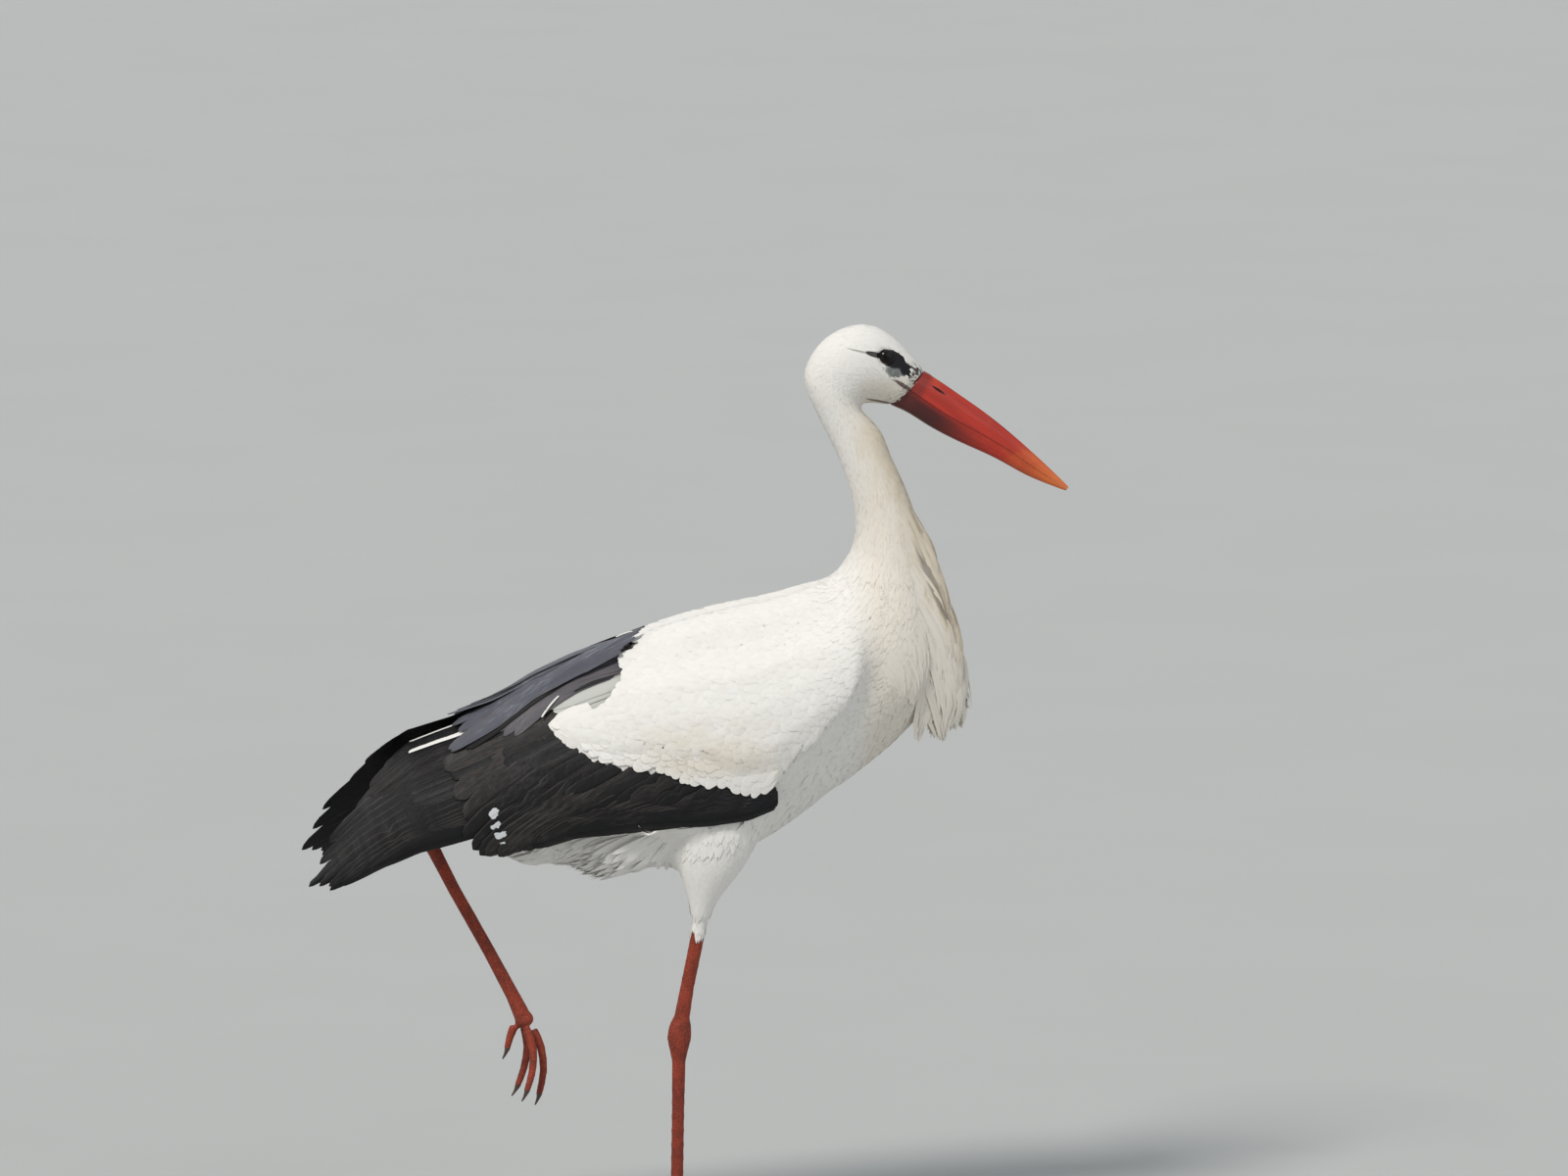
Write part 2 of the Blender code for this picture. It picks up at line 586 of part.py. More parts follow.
def standing_toe(name, heading, length, radius):
    """A toe lying on the floor with its pads, and the claw at its end."""
    way = Vector((cos(radians(heading)), sin(radians(heading)), 0.0))
    root = Vector((*FOOT_CENTRE, 0.0)) + way * (PAD_RADIUS + GAP)
    rings = []
    knots = 9
    for i in range(knots):
        t = i / (knots - 1)
        size = (radius + (TOE_TIP - radius) * t) * (1.0 - 0.10 * cos(2 * pi * 3 * t))
        size *= 0.84 if i == 0 else 1.0
        rings.append(floor_ring(root + way * length * t + Vector((0.0, 0.0, size * SOLE)),
                                way, size, TOE_SIDES))
    rings_to_solid("toe_" + name + "_right", rings, RED_SKIN)
    tip = root + way * (length + GAP)
    claw = []
    for i in range(5):
        t = i / 4
        size = CLAW_RADIUS * (1.0 - 0.80 * t)
        height = size * 0.9 + 0.0004 + 0.0016 * sin(pi * min(t + 0.15, 1.0))
        claw.append(floor_ring(tip + way * CLAW_LENGTH * t + Vector((0.0, 0.0, height)),
                               way, size, 8))
    rings_to_solid("claw_" + name + "_right", claw, CLAW_HORN)


def lifted_toe(name, path):
    """A toe of the raised foot hanging loosely, with its claw."""
    root = 0.0048
    rows = []
    for i, p in enumerate(path):
        size = root + (TOE_TIP - root) * i / (len(path) - 1)
        rows.append((*p, size, size))
    limb("toe_" + name + "_left", curve(rows, 2), RED_SKIN, TOE_SIDES)
    end, before = Vector(path[-1]), Vector(path[-2])
    way = (end - before).normalized()
    claw = []
    for i in range(5):
        t = i / 4
        spot = end + way * (GAP + CLAW_LENGTH * t) - Vector((0.0020 * t * t, 0.0, 0.0))
        size = CLAW_RADIUS * (1.0 - 0.80 * t)
        claw.append((*spot, size, size))
    limb("claw_" + name + "_left", claw, CLAW_HORN, 8)


def foot_pad():
    """The ball of the standing foot, under the end of the shin."""
    rings = []
    middle = Vector((*FOOT_CENTRE, 0.0))
    for height, size in ((0.0, 0.82), (0.0020, 0.97), (0.0075, 0.97), (0.0140, 0.88),
                         (FOOT_TOP - GAP, 0.78)):
        rings.append([middle + Vector((cos(2 * pi * k / LEG_SIDES) * PAD_RADIUS * size,
                                       sin(2 * pi * k / LEG_SIDES) * PAD_RADIUS * size, height))
                      for k in range(LEG_SIDES)])
    rings_to_solid("foot_right", rings, RED_SKIN)


def lifted_pad():
    """The ball of the raised foot."""
    way = Vector((0.0078, 0.0, -0.0170)).normalized()
    start = Vector((-0.1462, 0.0500, 0.2420)) + way * GAP * 3.0
    rows = []
    for t, size in ((0.0, 0.0078), (0.004, 0.0092), (0.008, 0.0096), (0.0115, 0.0080),
                    (0.0135, 0.0045)):
        rows.append((*(start + way * t), size, size * 1.02))
    limb("foot_left", rows, RED_SKIN, LEG_SIDES)


def build():
    for thing in list(bpy.data.objects):
        bpy.data.objects.remove(thing)
    head = body_part("head", HEAD, 2, WHITE)
    body_part("neck_upper", NECK_UPPER, 2, WHITE)
    lower = body_part("neck_lower", NECK_LOWER, 2, WHITE)
    breast = body_part("breast", BREAST, 2, WHITE)
    trunk = body_part("trunk", TRUNK, 2, WHITE)
    body_part("tail", TAIL, 1, WHITE)
    breast_plumes((lower, breast))
    bill()
    for name, side in (("eye_left", 1), ("eye_right", -1)):
        ball = eye(name, side)
        cutter = swollen(ball, GAP)
        cut(head, cutter)
        bpy.data.objects.remove(cutter)
    for word, side in (("left", 1), ("right", -1)):
        panel("mantle_" + word, side, MANTLE_UP, MANTLE_LOW, 0.0070, 9, WHITE)
        panel("coverts_" + word, side, COVERT_UP, COVERT_LOW, 0.0080, 14, WHITE, True, 0.0, OVERLAY)
        panel("secondaries_" + word, side, SECOND_UP, SECOND_LOW, 0.0036, 14, BLACK, True)
        panel("primaries_" + word, side, PRIMARY_UP, PRIMARY_LOW, 0.0050, 12, BLACK, True, 0.014)
        panel("scapulars_" + word, side, SCAP_UP, SCAP_LOW, 0.0060, 9, SILVER, False, 0.010, OVERLAY)
    right = leg("right", (("thigh", THIGH_RIGHT, 2, WHITE, 16),
                          ("shank", SHANK_RIGHT, 1, RED_SKIN, LEG_SIDES),
                          ("ankle", ANKLE_RIGHT, 2, RED_SKIN, LEG_SIDES),
                          ("tarsus", TARSUS_RIGHT, 1, RED_SKIN, LEG_SIDES)))
    left = leg("left", (("thigh", THIGH_LEFT, 2, WHITE, 16),
                        ("shank", SHANK_LEFT, 1, RED_SKIN, LEG_SIDES),
                        ("ankle", ANKLE_LEFT, 2, RED_SKIN, LEG_SIDES),
                        ("tarsus", TARSUS_LEFT, 1, RED_SKIN, LEG_SIDES)))
    cutter = swollen(trunk, GAP)
    cut(right[0], cutter)
    cut(left[0], cutter)
    bpy.data.objects.remove(cutter)
    foot_pad()
    for toe in TOES:
        standing_toe(*toe)
    lifted_pad()
    for name, path in LIFTED_TOES:
        lifted_toe(name, path)


build()
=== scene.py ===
# The looks of a life-size white stork: skin, feathers, bill, eyes, legs and the studio round it.
# Metres, +Z up, +X the way the bird faces, +Y its left side. The soles rest on Z = 0.
from math import cos, radians, sin
import bmesh
import bpy
import numpy as np
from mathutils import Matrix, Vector
from mathutils.bvhtree import BVHTree
from mathutils.geometry import barycentric_transform
from mathutils.kdtree import KDTree


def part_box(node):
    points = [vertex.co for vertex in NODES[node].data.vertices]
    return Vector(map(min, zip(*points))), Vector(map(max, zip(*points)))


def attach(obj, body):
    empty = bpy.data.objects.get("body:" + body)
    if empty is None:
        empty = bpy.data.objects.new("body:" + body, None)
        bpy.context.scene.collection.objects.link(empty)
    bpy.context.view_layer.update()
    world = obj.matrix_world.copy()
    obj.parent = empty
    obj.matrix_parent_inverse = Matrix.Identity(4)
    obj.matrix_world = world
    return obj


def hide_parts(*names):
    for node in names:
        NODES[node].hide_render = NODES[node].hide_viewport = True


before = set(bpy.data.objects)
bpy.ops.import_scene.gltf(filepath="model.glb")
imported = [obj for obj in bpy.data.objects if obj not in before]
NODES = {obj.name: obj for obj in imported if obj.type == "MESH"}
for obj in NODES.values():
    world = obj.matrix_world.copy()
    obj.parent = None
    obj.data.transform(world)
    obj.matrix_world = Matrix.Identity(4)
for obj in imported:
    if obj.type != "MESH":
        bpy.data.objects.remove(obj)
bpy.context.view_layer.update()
MM = 0.001

# ---- which solids each piece stands for ----------------------------------------------------------
RIGHT, LEFT = -1, 1
SIDES = (("right", RIGHT), ("left", LEFT))
TOE_NAMES = ("inner", "middle", "outer", "hind")
FLESH = ["head", "neck_upper", "neck_lower", "breast", "trunk", "tail"]
FLESH += [part + "_" + word for part in ("thigh", "shank", "ankle", "tarsus", "foot")
          for word, _ in SIDES]
FLESH += ["toe_" + toe + "_" + word for toe in TOE_NAMES for word, _ in SIDES]
FEATHERED = ["head", "neck_upper", "neck_lower", "breast", "trunk", "tail", "thigh_right",
             "thigh_left"]
PANELS = ("mantle", "coverts", "secondaries", "primaries", "scapulars")

# ---- the lie of the body feathers ----------------------------------------------------------------
# Lines through the body from the bill to the tail and down each thigh. Each row: X, Y, Z and
# body radius, then in millimetres the feathers' spacing, length and half width, and the coat's depth.
LIE_BODY = (
    (0.2450, 0.0, 0.8560, 0.018, 1.7, 4.0, 0.60, 0.5),
    (0.2080, 0.0, 0.8840, 0.026, 1.9, 6.0, 0.75, 0.7),
    (0.1700, 0.0, 0.8840, 0.030, 2.2, 10.0, 0.90, 1.1),
    (0.1560, 0.0, 0.8560, 0.028, 2.5, 14.0, 1.05, 1.4),
    (0.1690, 0.0, 0.8180, 0.026, 2.8, 19.0, 1.15, 1.6),
    (0.1900, 0.0, 0.7780, 0.027, 3.1, 24.0, 1.30, 1.8),
    (0.2030, 0.0, 0.7360, 0.032, 3.6, 30.0, 1.7, 2.0),
    (0.2080, 0.0, 0.6900, 0.042, 4.2, 34.0, 2.3, 2.2),
    (0.2020, 0.0, 0.6400, 0.055, 5.0, 36.0, 3.0, 2.4),
    (0.1780, 0.0, 0.5950, 0.066, 5.6, 38.0, 3.6, 2.6),
    (0.1400, 0.0, 0.5650, 0.080, 6.2, 40.0, 4.2, 2.8),
    (0.0600, 0.0, 0.5350, 0.090, 6.6, 42.0, 4.6, 3.0),
    (-0.0200, 0.0, 0.5100, 0.090, 6.6, 44.0, 4.6, 3.0),
    (-0.1000, 0.0, 0.4900, 0.080, 6.4, 46.0, 4.6, 3.0),
    (-0.1600, 0.0, 0.4780, 0.060, 6.2, 44.0, 4.6, 2.6),
    (-0.2500, 0.0, 0.4780, 0.030, 6.2, 42.0, 4.6, 2.2),
    (-0.3300, 0.0, 0.4500, 0.020, 6.2, 36.0, 4.6, 1.6),
)
LIE_BACK = (
    (0.1630, 0.0, 0.7900, 0.012, 2.9, 22.0, 1.3, 1.8),
    (0.1670, 0.0, 0.7450, 0.013, 3.3, 26.0, 1.8, 2.0),
    (0.1600, 0.0, 0.7080, 0.016, 3.8, 30.0, 2.6, 2.4),
    (0.1380, 0.0, 0.6800, 0.022, 4.6, 34.0, 3.6, 2.6),
    (0.0800, 0.0, 0.6560, 0.030, 5.2, 36.0, 4.6, 2.8),
    (0.0000, 0.0, 0.6370, 0.030, 5.4, 36.0, 5.0, 2.8),
    (-0.0700, 0.0, 0.6100, 0.030, 5.4, 36.0, 5.0, 2.8),
)
LIE_THIGH_RIGHT = (
    (0.0300, -0.0440, 0.5300, 0.030, 6.0, 34.0, 4.0, 2.8),
    (0.0360, -0.0455, 0.4700, 0.038, 5.6, 34.0, 3.8, 2.8),
    (0.0320, -0.0445, 0.4250, 0.036, 5.0, 30.0, 3.2, 2.6),
    (0.0250, -0.0415, 0.3880, 0.024, 3.8, 24.0, 2.3, 2.2),
    (0.0200, -0.0380, 0.3580, 0.014, 2.6, 16.0, 1.4, 1.4),
    (0.0190, -0.0370, 0.3430, 0.010, 2.2, 9.0, 1.0, 0.6),
)
LIE_THIGH_LEFT = (
    (0.0300, 0.0420, 0.5150, 0.030, 6.0, 30.0, 3.8, 2.8),
    (-0.0300, 0.0450, 0.4960, 0.030, 5.4, 30.0, 3.6, 2.6),
    (-0.0700, 0.0490, 0.4840, 0.022, 4.4, 26.0, 2.8, 2.4),
    (-0.1000, 0.0512, 0.4745, 0.014, 3.2, 20.0, 1.9, 1.8),
    (-0.1260, 0.0514, 0.4655, 0.010, 2.4, 9.0, 1.1, 0.6),
)
LIE = (LIE_BODY, LIE_BACK, LIE_THIGH_RIGHT, LIE_THIGH_LEFT)
LIE_NEAR = 4             # how strongly the nearest line rules the lie
LIE_SOFT = 0.02
DENSE = 0.50             # spacing of the body feathers, as a share of the lie's own
DENSE_HEAD = 0.56
NECK_TOP = 0.835         # height where the neck meets the head
NECK_FOOT = 0.700        # height where the neck's own form gives way to the filled one

# ---- where some of the feathers grow: limits for X, for Y and for Z ------------------------------
FAR = 9.0
ALL = (-FAR, FAR)
FLANKS = ((-0.200, 0.150), ALL, (-FAR, 0.500))
WING_BASE = ((-FAR, 0.168), ALL, (0.455, 0.690))
THIGHS = (((-0.020, 0.090), (-FAR, -0.015), (-FAR, 0.470)), (ALL, (0.030, FAR), (-FAR, 0.490)))
BELLY_SIDE = ((-0.165, 0.010), ALL, (-FAR, 0.438))
THIGH_TOPS = ((-0.020, FAR), ALL, (-FAR, 0.415))
THIGH_END = ((-0.010, 0.080), (-FAR, 0.0), (0.350, 0.372))
PLUME_ROOTS = ((0.170, FAR), ALL, (0.575, 0.755))

# ---- where white meets black on the folded wings, in the side view: X and Z ----------------------
WHITE_LOW = np.array((
    (-0.1300, 0.5460), (-0.1290, 0.5400), (-0.1200, 0.5320), (-0.1050, 0.5250), (-0.0900, 0.5135),
    (-0.0700, 0.5085), (-0.0530, 0.5050), (-0.0340, 0.5000), (-0.0090, 0.4915), (0.0060, 0.4900),
    (0.0340, 0.4839), (0.0490, 0.4799), (0.0710, 0.4757), (0.0850, 0.4750)))
WHITE_BACK = np.array((
    (-0.1300, 0.5400), (-0.1290, 0.5450), (-0.1170, 0.5495), (-0.0960, 0.5510), (-0.0820, 0.5560),
    (-0.0690, 0.5750), (-0.0590, 0.5860), (-0.0570, 0.6050), (-0.0440, 0.6130), (-0.0390, 0.6190),
    (-0.0520, 0.6250), (-0.0560, 0.6330), (-0.0580, 0.6600)))
BLACK_LOW = np.array((
    (-0.3450, 0.3750), (-0.2950, 0.3930), (-0.2620, 0.4190), (-0.2290, 0.4257), (-0.1960, 0.4158),
    (-0.1570, 0.4125), (-0.0815, 0.4383), (-0.0221, 0.4435), (0.0224, 0.4435), (0.0522, 0.4457),
    (0.0714, 0.4550), (0.0826, 0.4643), (0.0850, 0.4750)))

# ---- the surface that the folded wings lie on: X, top Z, bottom Z, half width --------------------
CARRIER = np.array((
    (0.2000, 0.6880, 0.4600, 0.0700), (0.1700, 0.6860, 0.4450, 0.0800),
    (0.1400, 0.6700, 0.4200, 0.0825), (0.1000, 0.6560, 0.3950, 0.0840),
    (0.0600, 0.6490, 0.3750, 0.0840), (0.0200, 0.6410, 0.3650, 0.0825),
    (-0.0200, 0.6310, 0.3620, 0.0790), (-0.0600, 0.6150, 0.3600, 0.0745),
    (-0.1000, 0.5980, 0.3600, 0.0695), (-0.1400, 0.5780, 0.3580, 0.0645),
    (-0.1800, 0.5530, 0.3560, 0.0585), (-0.2200, 0.5340, 0.3520, 0.0530),
    (-0.2600, 0.5180, 0.3470, 0.0470), (-0.3000, 0.4900, 0.3400, 0.0410),
    (-0.3400, 0.4560, 0.3320, 0.0350), (-0.3800, 0.4200, 0.3220, 0.0290)))[::-1]
LEFT_LIFT = 0.024        # the left wing's hand lies this much higher at its tip
LIFT_FROM = -0.1500
LIFT_TO = -0.3600
RIB = 0.090              # how round a broad feather lies across the wing

# ---- eyes: the ball's centre on the left side, its radius and how flat it is ---------------------
EYE_AT = (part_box("eye_left")[0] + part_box("eye_left")[1]) / 2
EYE_RADIUS = (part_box("eye_left")[1].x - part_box("eye_left")[0].x) / 2
EYE_FLAT = 0.72
FACE_REACH = 0.0175

# ---- face: centre X and Z, half length, half height, tilt in degrees -----------------------------
BARE_FACE = ((0.2105, 0.8905, 0.0160, 0.0083, -23.0),
             (0.2245, 0.8790, 0.0085, 0.0055, -50.0))
EYE_STRIPE = ((0.1935, 0.8955, 0.0110, 0.0026, -16.0),
              (0.1790, 0.8990, 0.0130, 0.0010, -14.0))
LORES = (0.2320, 0.8760, 0.0110, 0.0085, -42.0)
PALE_SKIN = (0.2128, 0.8776, 0.0112, 0.0062, -24.0)
GAPE = (0.2215, 0.8640, 0.0105, 0.0021, -34.0)
# the dark line down the neck's front is partly brown feathers and partly painted shade
DARK_STREAK = (0.2490, 0.6700, 0.0420, 0.0045, -68.0)
CHIN_LINE = (0.2000, 0.8480, 0.0150, 0.0012, -13.0)
LIDS = (EYE_AT.x, EYE_AT.z, 0.0066, 0.0059, -18.0)
# the lobe of feathers that lies over the root of the lower half of the bill, and the edge above it
BILL_LOBES = ((0.2180, 0.8548, 0.0092, 0.0058, 33.0), (0.2270, 0.8625, 0.0060, 0.0026, 50.0))
# how free of feathers each of these places is
NAKED = ((BARE_FACE[0], 1.0), (BARE_FACE[1], 1.0), (PALE_SKIN, 1.0), (GAPE, 1.0), (LORES, 0.55))


def in_oval(x, z, place):
    """Along and over an oval in the side view, both 1 at its rim; for arrays and for Amounts."""
    cx, cz, long, high, tilt = place
    c, s = cos(radians(tilt)), sin(radians(tilt))
    return ((x - cx) * c + (z - cz) * s) / long, ((z - cz) * c - (x - cx) * s) / high


# ---- materials: one class for sums on values, one for laying out a material ----------------------
class Amount:
    """A number inside a material. Sums written with it add Math nodes."""

    def __init__(self, paint, socket):
        self.paint, self.socket = paint, socket

    def _sum(self, operation, first, second):
        return self.paint.add("ShaderNodeMath", {"operation": operation}, {0: first, 1: second})

    def __add__(self, other):
        return self._sum("ADD", self, other)

    def __radd__(self, other):
        return self._sum("ADD", other, self)

    def __sub__(self, other):
        return self._sum("SUBTRACT", self, other)

    def __rsub__(self, other):
        return self._sum("SUBTRACT", other, self)

    def __mul__(self, other):
        return self._sum("MULTIPLY", self, other)

    def __rmul__(self, other):
        return self._sum("MULTIPLY", other, self)

    def __truediv__(self, other):
        return self._sum("DIVIDE", self, other)

    def __pow__(self, other):
        return self._sum("POWER", self, other)

    def __abs__(self):
        return self._sum("ABSOLUTE", self, 0.0)

    def most(self, other):
        return self._sum("MAXIMUM", self, other)


class Paint:
    """One material being laid out, with its nodes and its shader."""

    def __init__(self, name, rough, **fixed):
        self.made = bpy.data.materials.new(name)
        self.made.use_nodes = True
        self.tree = self.made.node_tree
        self.shader = self.tree.nodes["Principled BSDF"]
        self.shader.inputs["Roughness"].default_value = rough
        for socket, value in fixed.items():
            self.shader.inputs[socket.replace("_", " ")].default_value = value

    def add(self, kind, settings=None, inputs=None, out=0):
        """A node of this kind, set up first and fed next; the answer is one of its outputs."""
        node = self.tree.nodes.new(kind)
        for key, value in (settings or {}).items():
            setattr(node, key, value)
        for key, value in (inputs or {}).items():
            if isinstance(value, Amount):
                self.tree.links.new(value.socket, node.inputs[key])
            else:
                node.inputs[key].default_value = value
        return Amount(self, node.outputs[out])

    def feed(self, socket, value):
        self.tree.links.new(value.socket, self.shader.inputs[socket])

    def place(self):
        """Object coordinates, as a vector and as X, Y and Z."""
        spot = self.add("ShaderNodeTexCoord", out="Object")
        parts = [self.add("ShaderNodeSeparateXYZ", inputs={0: spot}, out=k) for k in range(3)]
        return spot, parts[0], parts[1], parts[2]

    def stretch(self, vector, scale, turn=(0.0, 0.0, 0.0)):
        return self.add("ShaderNodeMapping", inputs={"Vector": vector, "Scale": scale,
                                                     "Rotation": turn})

    def noise(self, vector, scale, detail, rough=0.55):
        return self.add("ShaderNodeTexNoise", inputs={
            "Vector": vector, "Scale": scale, "Detail": detail, "Roughness": rough})

    def ease(self, value, low, high, floor=0.0, top=1.0):
        """A smooth step from floor at low to top at high."""
        return self.add("ShaderNodeMapRange", {"interpolation_type": "SMOOTHSTEP"},
                        {0: value, 1: low, 2: high, 3: floor, 4: top})

    def blend(self, share, first, second):
        """A mix of two colours; a plain colour is given as three numbers."""
        first, second = [c if isinstance(c, Amount) else (*c, 1.0) for c in (first, second)]
        return self.add("ShaderNodeMix", {"data_type": "RGBA"}, {0: share, 6: first, 7: second},
                        out=2)

    def bump(self, height, strength, distance):
        self.feed("Normal", self.add("ShaderNodeBump", inputs={
            "Height": height, "Strength": strength, "Distance": distance}))

    def mark(self, x, z, place, soft=0.25):
        """1 inside an oval in the side view, falling to 0 outside it."""
        along, over = in_oval(x, z, place)
        return self.ease(along * along + over * over, 1.0 + soft, 1.0 - soft)


# ---- meshes --------------------------------------------------------------------------------------
def unit(v):
    return v / np.maximum(np.linalg.norm(v, axis=-1, keepdims=True), 1e-12)


def level(way, up):
    """The direction turned to lie flat against a surface."""
    return unit(way - up * (way * up).sum(-1, keepdims=True))


def in_box(spots, box):
    """Which places lie in a box."""
    low, high = np.array(box).T
    return ((spots > low) & (spots < high)).all(axis=1)


def eased(share):
    """A share from 0 to 1 that starts and ends gently."""
    return share * share * (3 - 2 * share)


def read(rows, what, wide=3):
    out = np.empty(len(rows) * wide, np.float32)
    rows.foreach_get(what, out)
    return out.reshape(-1, wide).astype(float)


def write_places(thing, places):
    thing.data.vertices.foreach_set("co", places.astype(np.float32).ravel())
    thing.data.update()


def nothing_selected():
    if bpy.context.object and bpy.context.object.mode != "OBJECT":
        bpy.ops.object.mode_set(mode="OBJECT")
    bpy.ops.object.select_all(action="DESELECT")


def take_up(thing):
    """Makes this the one selected object."""
    nothing_selected()
    thing.select_set(True)
    bpy.context.view_layer.objects.active = thing


def open_up(thing, chosen="SELECT"):
    """Opens one object for shaping, with all or none of it selected."""
    take_up(thing)
    bpy.ops.object.mode_set(mode="EDIT")
    bpy.ops.mesh.select_all(action=chosen)


def close_up():
    bpy.ops.object.mode_set(mode="OBJECT")


def settle(thing, material, slot, *replaced):
    """Gives a finished piece its material and body, and hides the solids it stands for; the slot is
    not used.
    """
    thing.data.materials.clear()
    thing.data.materials.append(material)
    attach(thing, "root")
    if replaced:
        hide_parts(*replaced)


def apply_modifier(thing, kind, **settings):
    take_up(thing)
    step = thing.modifiers.new("step", kind)
    for key, value in settings.items():
        setattr(step, key, value)
    bpy.ops.object.modifier_apply(modifier=step.name)


def merged(name, nodes, swell=0.0):
    """One object from copies of solids, each swollen a little so that neighbours join."""
    work = bmesh.new()
    for node in nodes:
        part = bmesh.new()
        part.from_mesh(NODES[node].data)
        bmesh.ops.remove_doubles(part, verts=part.verts, dist=0.00001)
        part.normal_update()
        for vertex in part.verts:
            vertex.co += vertex.normal * swell
        grown = bpy.data.meshes.new("grown")
        part.to_mesh(grown)
        part.free()
        work.from_mesh(grown)
        bpy.data.meshes.remove(grown)
    mesh = bpy.data.meshes.new(name)
    work.to_mesh(mesh)
    work.free()
    thing = bpy.data.objects.new(name, mesh)
    bpy.context.scene.collection.objects.link(thing)
    return thing


SWELL = 0.0006


def fused(name, nodes, voxel, smooth, swell=SWELL):
    """Copies of solids melted into one smooth closed surface."""
    thing = merged(name, nodes, swell)
    apply_modifier(thing, "REMESH", mode="VOXEL", voxel_size=voxel, adaptivity=0.0)
    apply_modifier(thing, "SMOOTH", factor=0.5, iterations=smooth)
    return thing


# where the bend of the wing melts into the breast: X then Z, from outside in and out again
RIM = ((0.040, 0.075, 0.190, 0.215), (0.425, 0.455, 0.665, 0.700))
RIM_SMOOTH = 45
FILL = 0.013             # creases narrower than about twice this are filled under the coat
FILL_SMOOTH = 8


def filled(name, nodes, voxel, smooth):
    """Copies of solids melted together with their creases filled: grown, fused, shrunk back."""
    thing = fused(name, nodes, voxel, smooth, FILL)
    places, normals = read(thing.data.vertices, "co"), read(thing.data.vertices, "normal")
    write_places(thing, places - normals * (FILL - SWELL))
    apply_modifier(thing, "SMOOTH", factor=0.5, iterations=FILL_SMOOTH)
    x, _, z = read(thing.data.vertices, "co").T
    near = np.ones(len(x))
    for value, (low, start, end, high) in zip((x, z), RIM):
        near = np.minimum(near, np.interp(value, (low, start, end, high), (0.0, 1.0, 1.0, 0.0)))
    group = thing.vertex_groups.new(name="rim")
    for tenths in range(1, 11):
        chosen = np.nonzero(np.round(near * 10) == tenths)[0].tolist()
        group.add(chosen, tenths / 10, "REPLACE")
    apply_modifier(thing, "SMOOTH", factor=0.5, iterations=RIM_SMOOTH, vertex_group="rim")
    return thing


class Form:
    """A surface that feathers are laid on."""

    def __init__(self, thing):
        mesh = thing.data
        mesh.calc_loop_triangles()
        self.points = read(mesh.vertices, "co")
        self.normals = read(mesh.vertices, "normal")
        corners = np.empty(len(mesh.loop_triangles) * 3, np.int32)
        mesh.loop_triangles.foreach_get("vertices", corners)
        self.faces = corners.reshape(-1, 3)
        self.tree = BVHTree.FromPolygons(self.points.tolist(), self.faces.tolist())
        self.face_normals = unit(self.normals[self.faces].mean(axis=1))

    def nearest(self, spots):
        found = [self.tree.find_nearest(p) for p in spots.tolist()]
        where = np.array([tuple(f[0]) for f in found])
        return where, self.face_normals[[f[2] for f in found]]

    def gap(self, spots):
        """How far each spot is from the surface."""
        return np.array([self.tree.find_nearest(p)[3] for p in spots.tolist()])


TRIES = 3.5              # places tried for each that fits between its neighbours


def scatter(form, spacing, wanted, seed):
    """Evenly strewn places over a form. Spacing and wanted are functions of an array of places."""
    rng = np.random.default_rng(seed)
    a, b, c = (form.points[form.faces[:, k]] for k in range(3))
    area = np.linalg.norm(np.cross(b - a, c - a), axis=1) / 2
    middle = (a + b + c) / 3
    keep = wanted(middle, form.face_normals)
    share = np.where(keep, area / spacing(middle) ** 2, 0.0)
    count = int(share.sum() * TRIES)
    pick = rng.choice(len(share), count, p=share / share.sum())
    u, v = rng.random(count), rng.random(count)
    over = u + v > 1
    u[over], v[over] = 1 - u[over], 1 - v[over]
    spots = a[pick] + (b - a)[pick] * u[:, None] + (c - a)[pick] * v[:, None]
    apart = spacing(spots)
    tree = KDTree(count)
    for i, p in enumerate(spots.tolist()):
        tree.insert(p, i)
    tree.balance()
    alive = np.ones(count, bool)
    chosen = []
    for i, p in enumerate(spots.tolist()):
        if alive[i]:
            chosen.append(i)
            for _, j, _ in tree.find_range(p, apart[i]):
                alive[j] = False
    return spots[chosen]


def lie_at(spots):
    """The way the body feathers point at each place, and the lie's other values there."""
    total = np.zeros((len(spots), 1))
    ways = np.zeros((len(spots), 3))
    values = np.zeros((len(spots), 4))
    for line in LIE:
        rows = np.array(line)
        for start, end in zip(rows, rows[1:]):
            run = end[:3] - start[:3]
            t = np.clip((spots - start[:3]) @ run / (run @ run), 0.0, 1.0)[:, None]
            here = start + (end - start) * t
            far = np.linalg.norm(spots - here[:, :3], axis=1, keepdims=True) / here[:, 3:4]
            weight = 1.0 / (far ** 2 + LIE_SOFT) ** LIE_NEAR
            total += weight
            ways += unit(run) * weight
            values += here[:, 4:] * weight
    return unit(ways / total), values / total


def walk(form, roots, ways, lengths, shares):
    """Lines laid over a form from each root, with points at these shares of their length."""
    spots, ups = form.nearest(roots)
    way = level(ways, ups)
    line, raised = [spots], [ups]
    for a, b in zip(shares, shares[1:]):
        spots, ups = form.nearest(spots + way * (lengths * (b - a))[:, None])
        way = level(way, ups)
        line.append(spots)
        raised.append(ups)
    return np.stack(line, 1), np.stack(raised, 1)


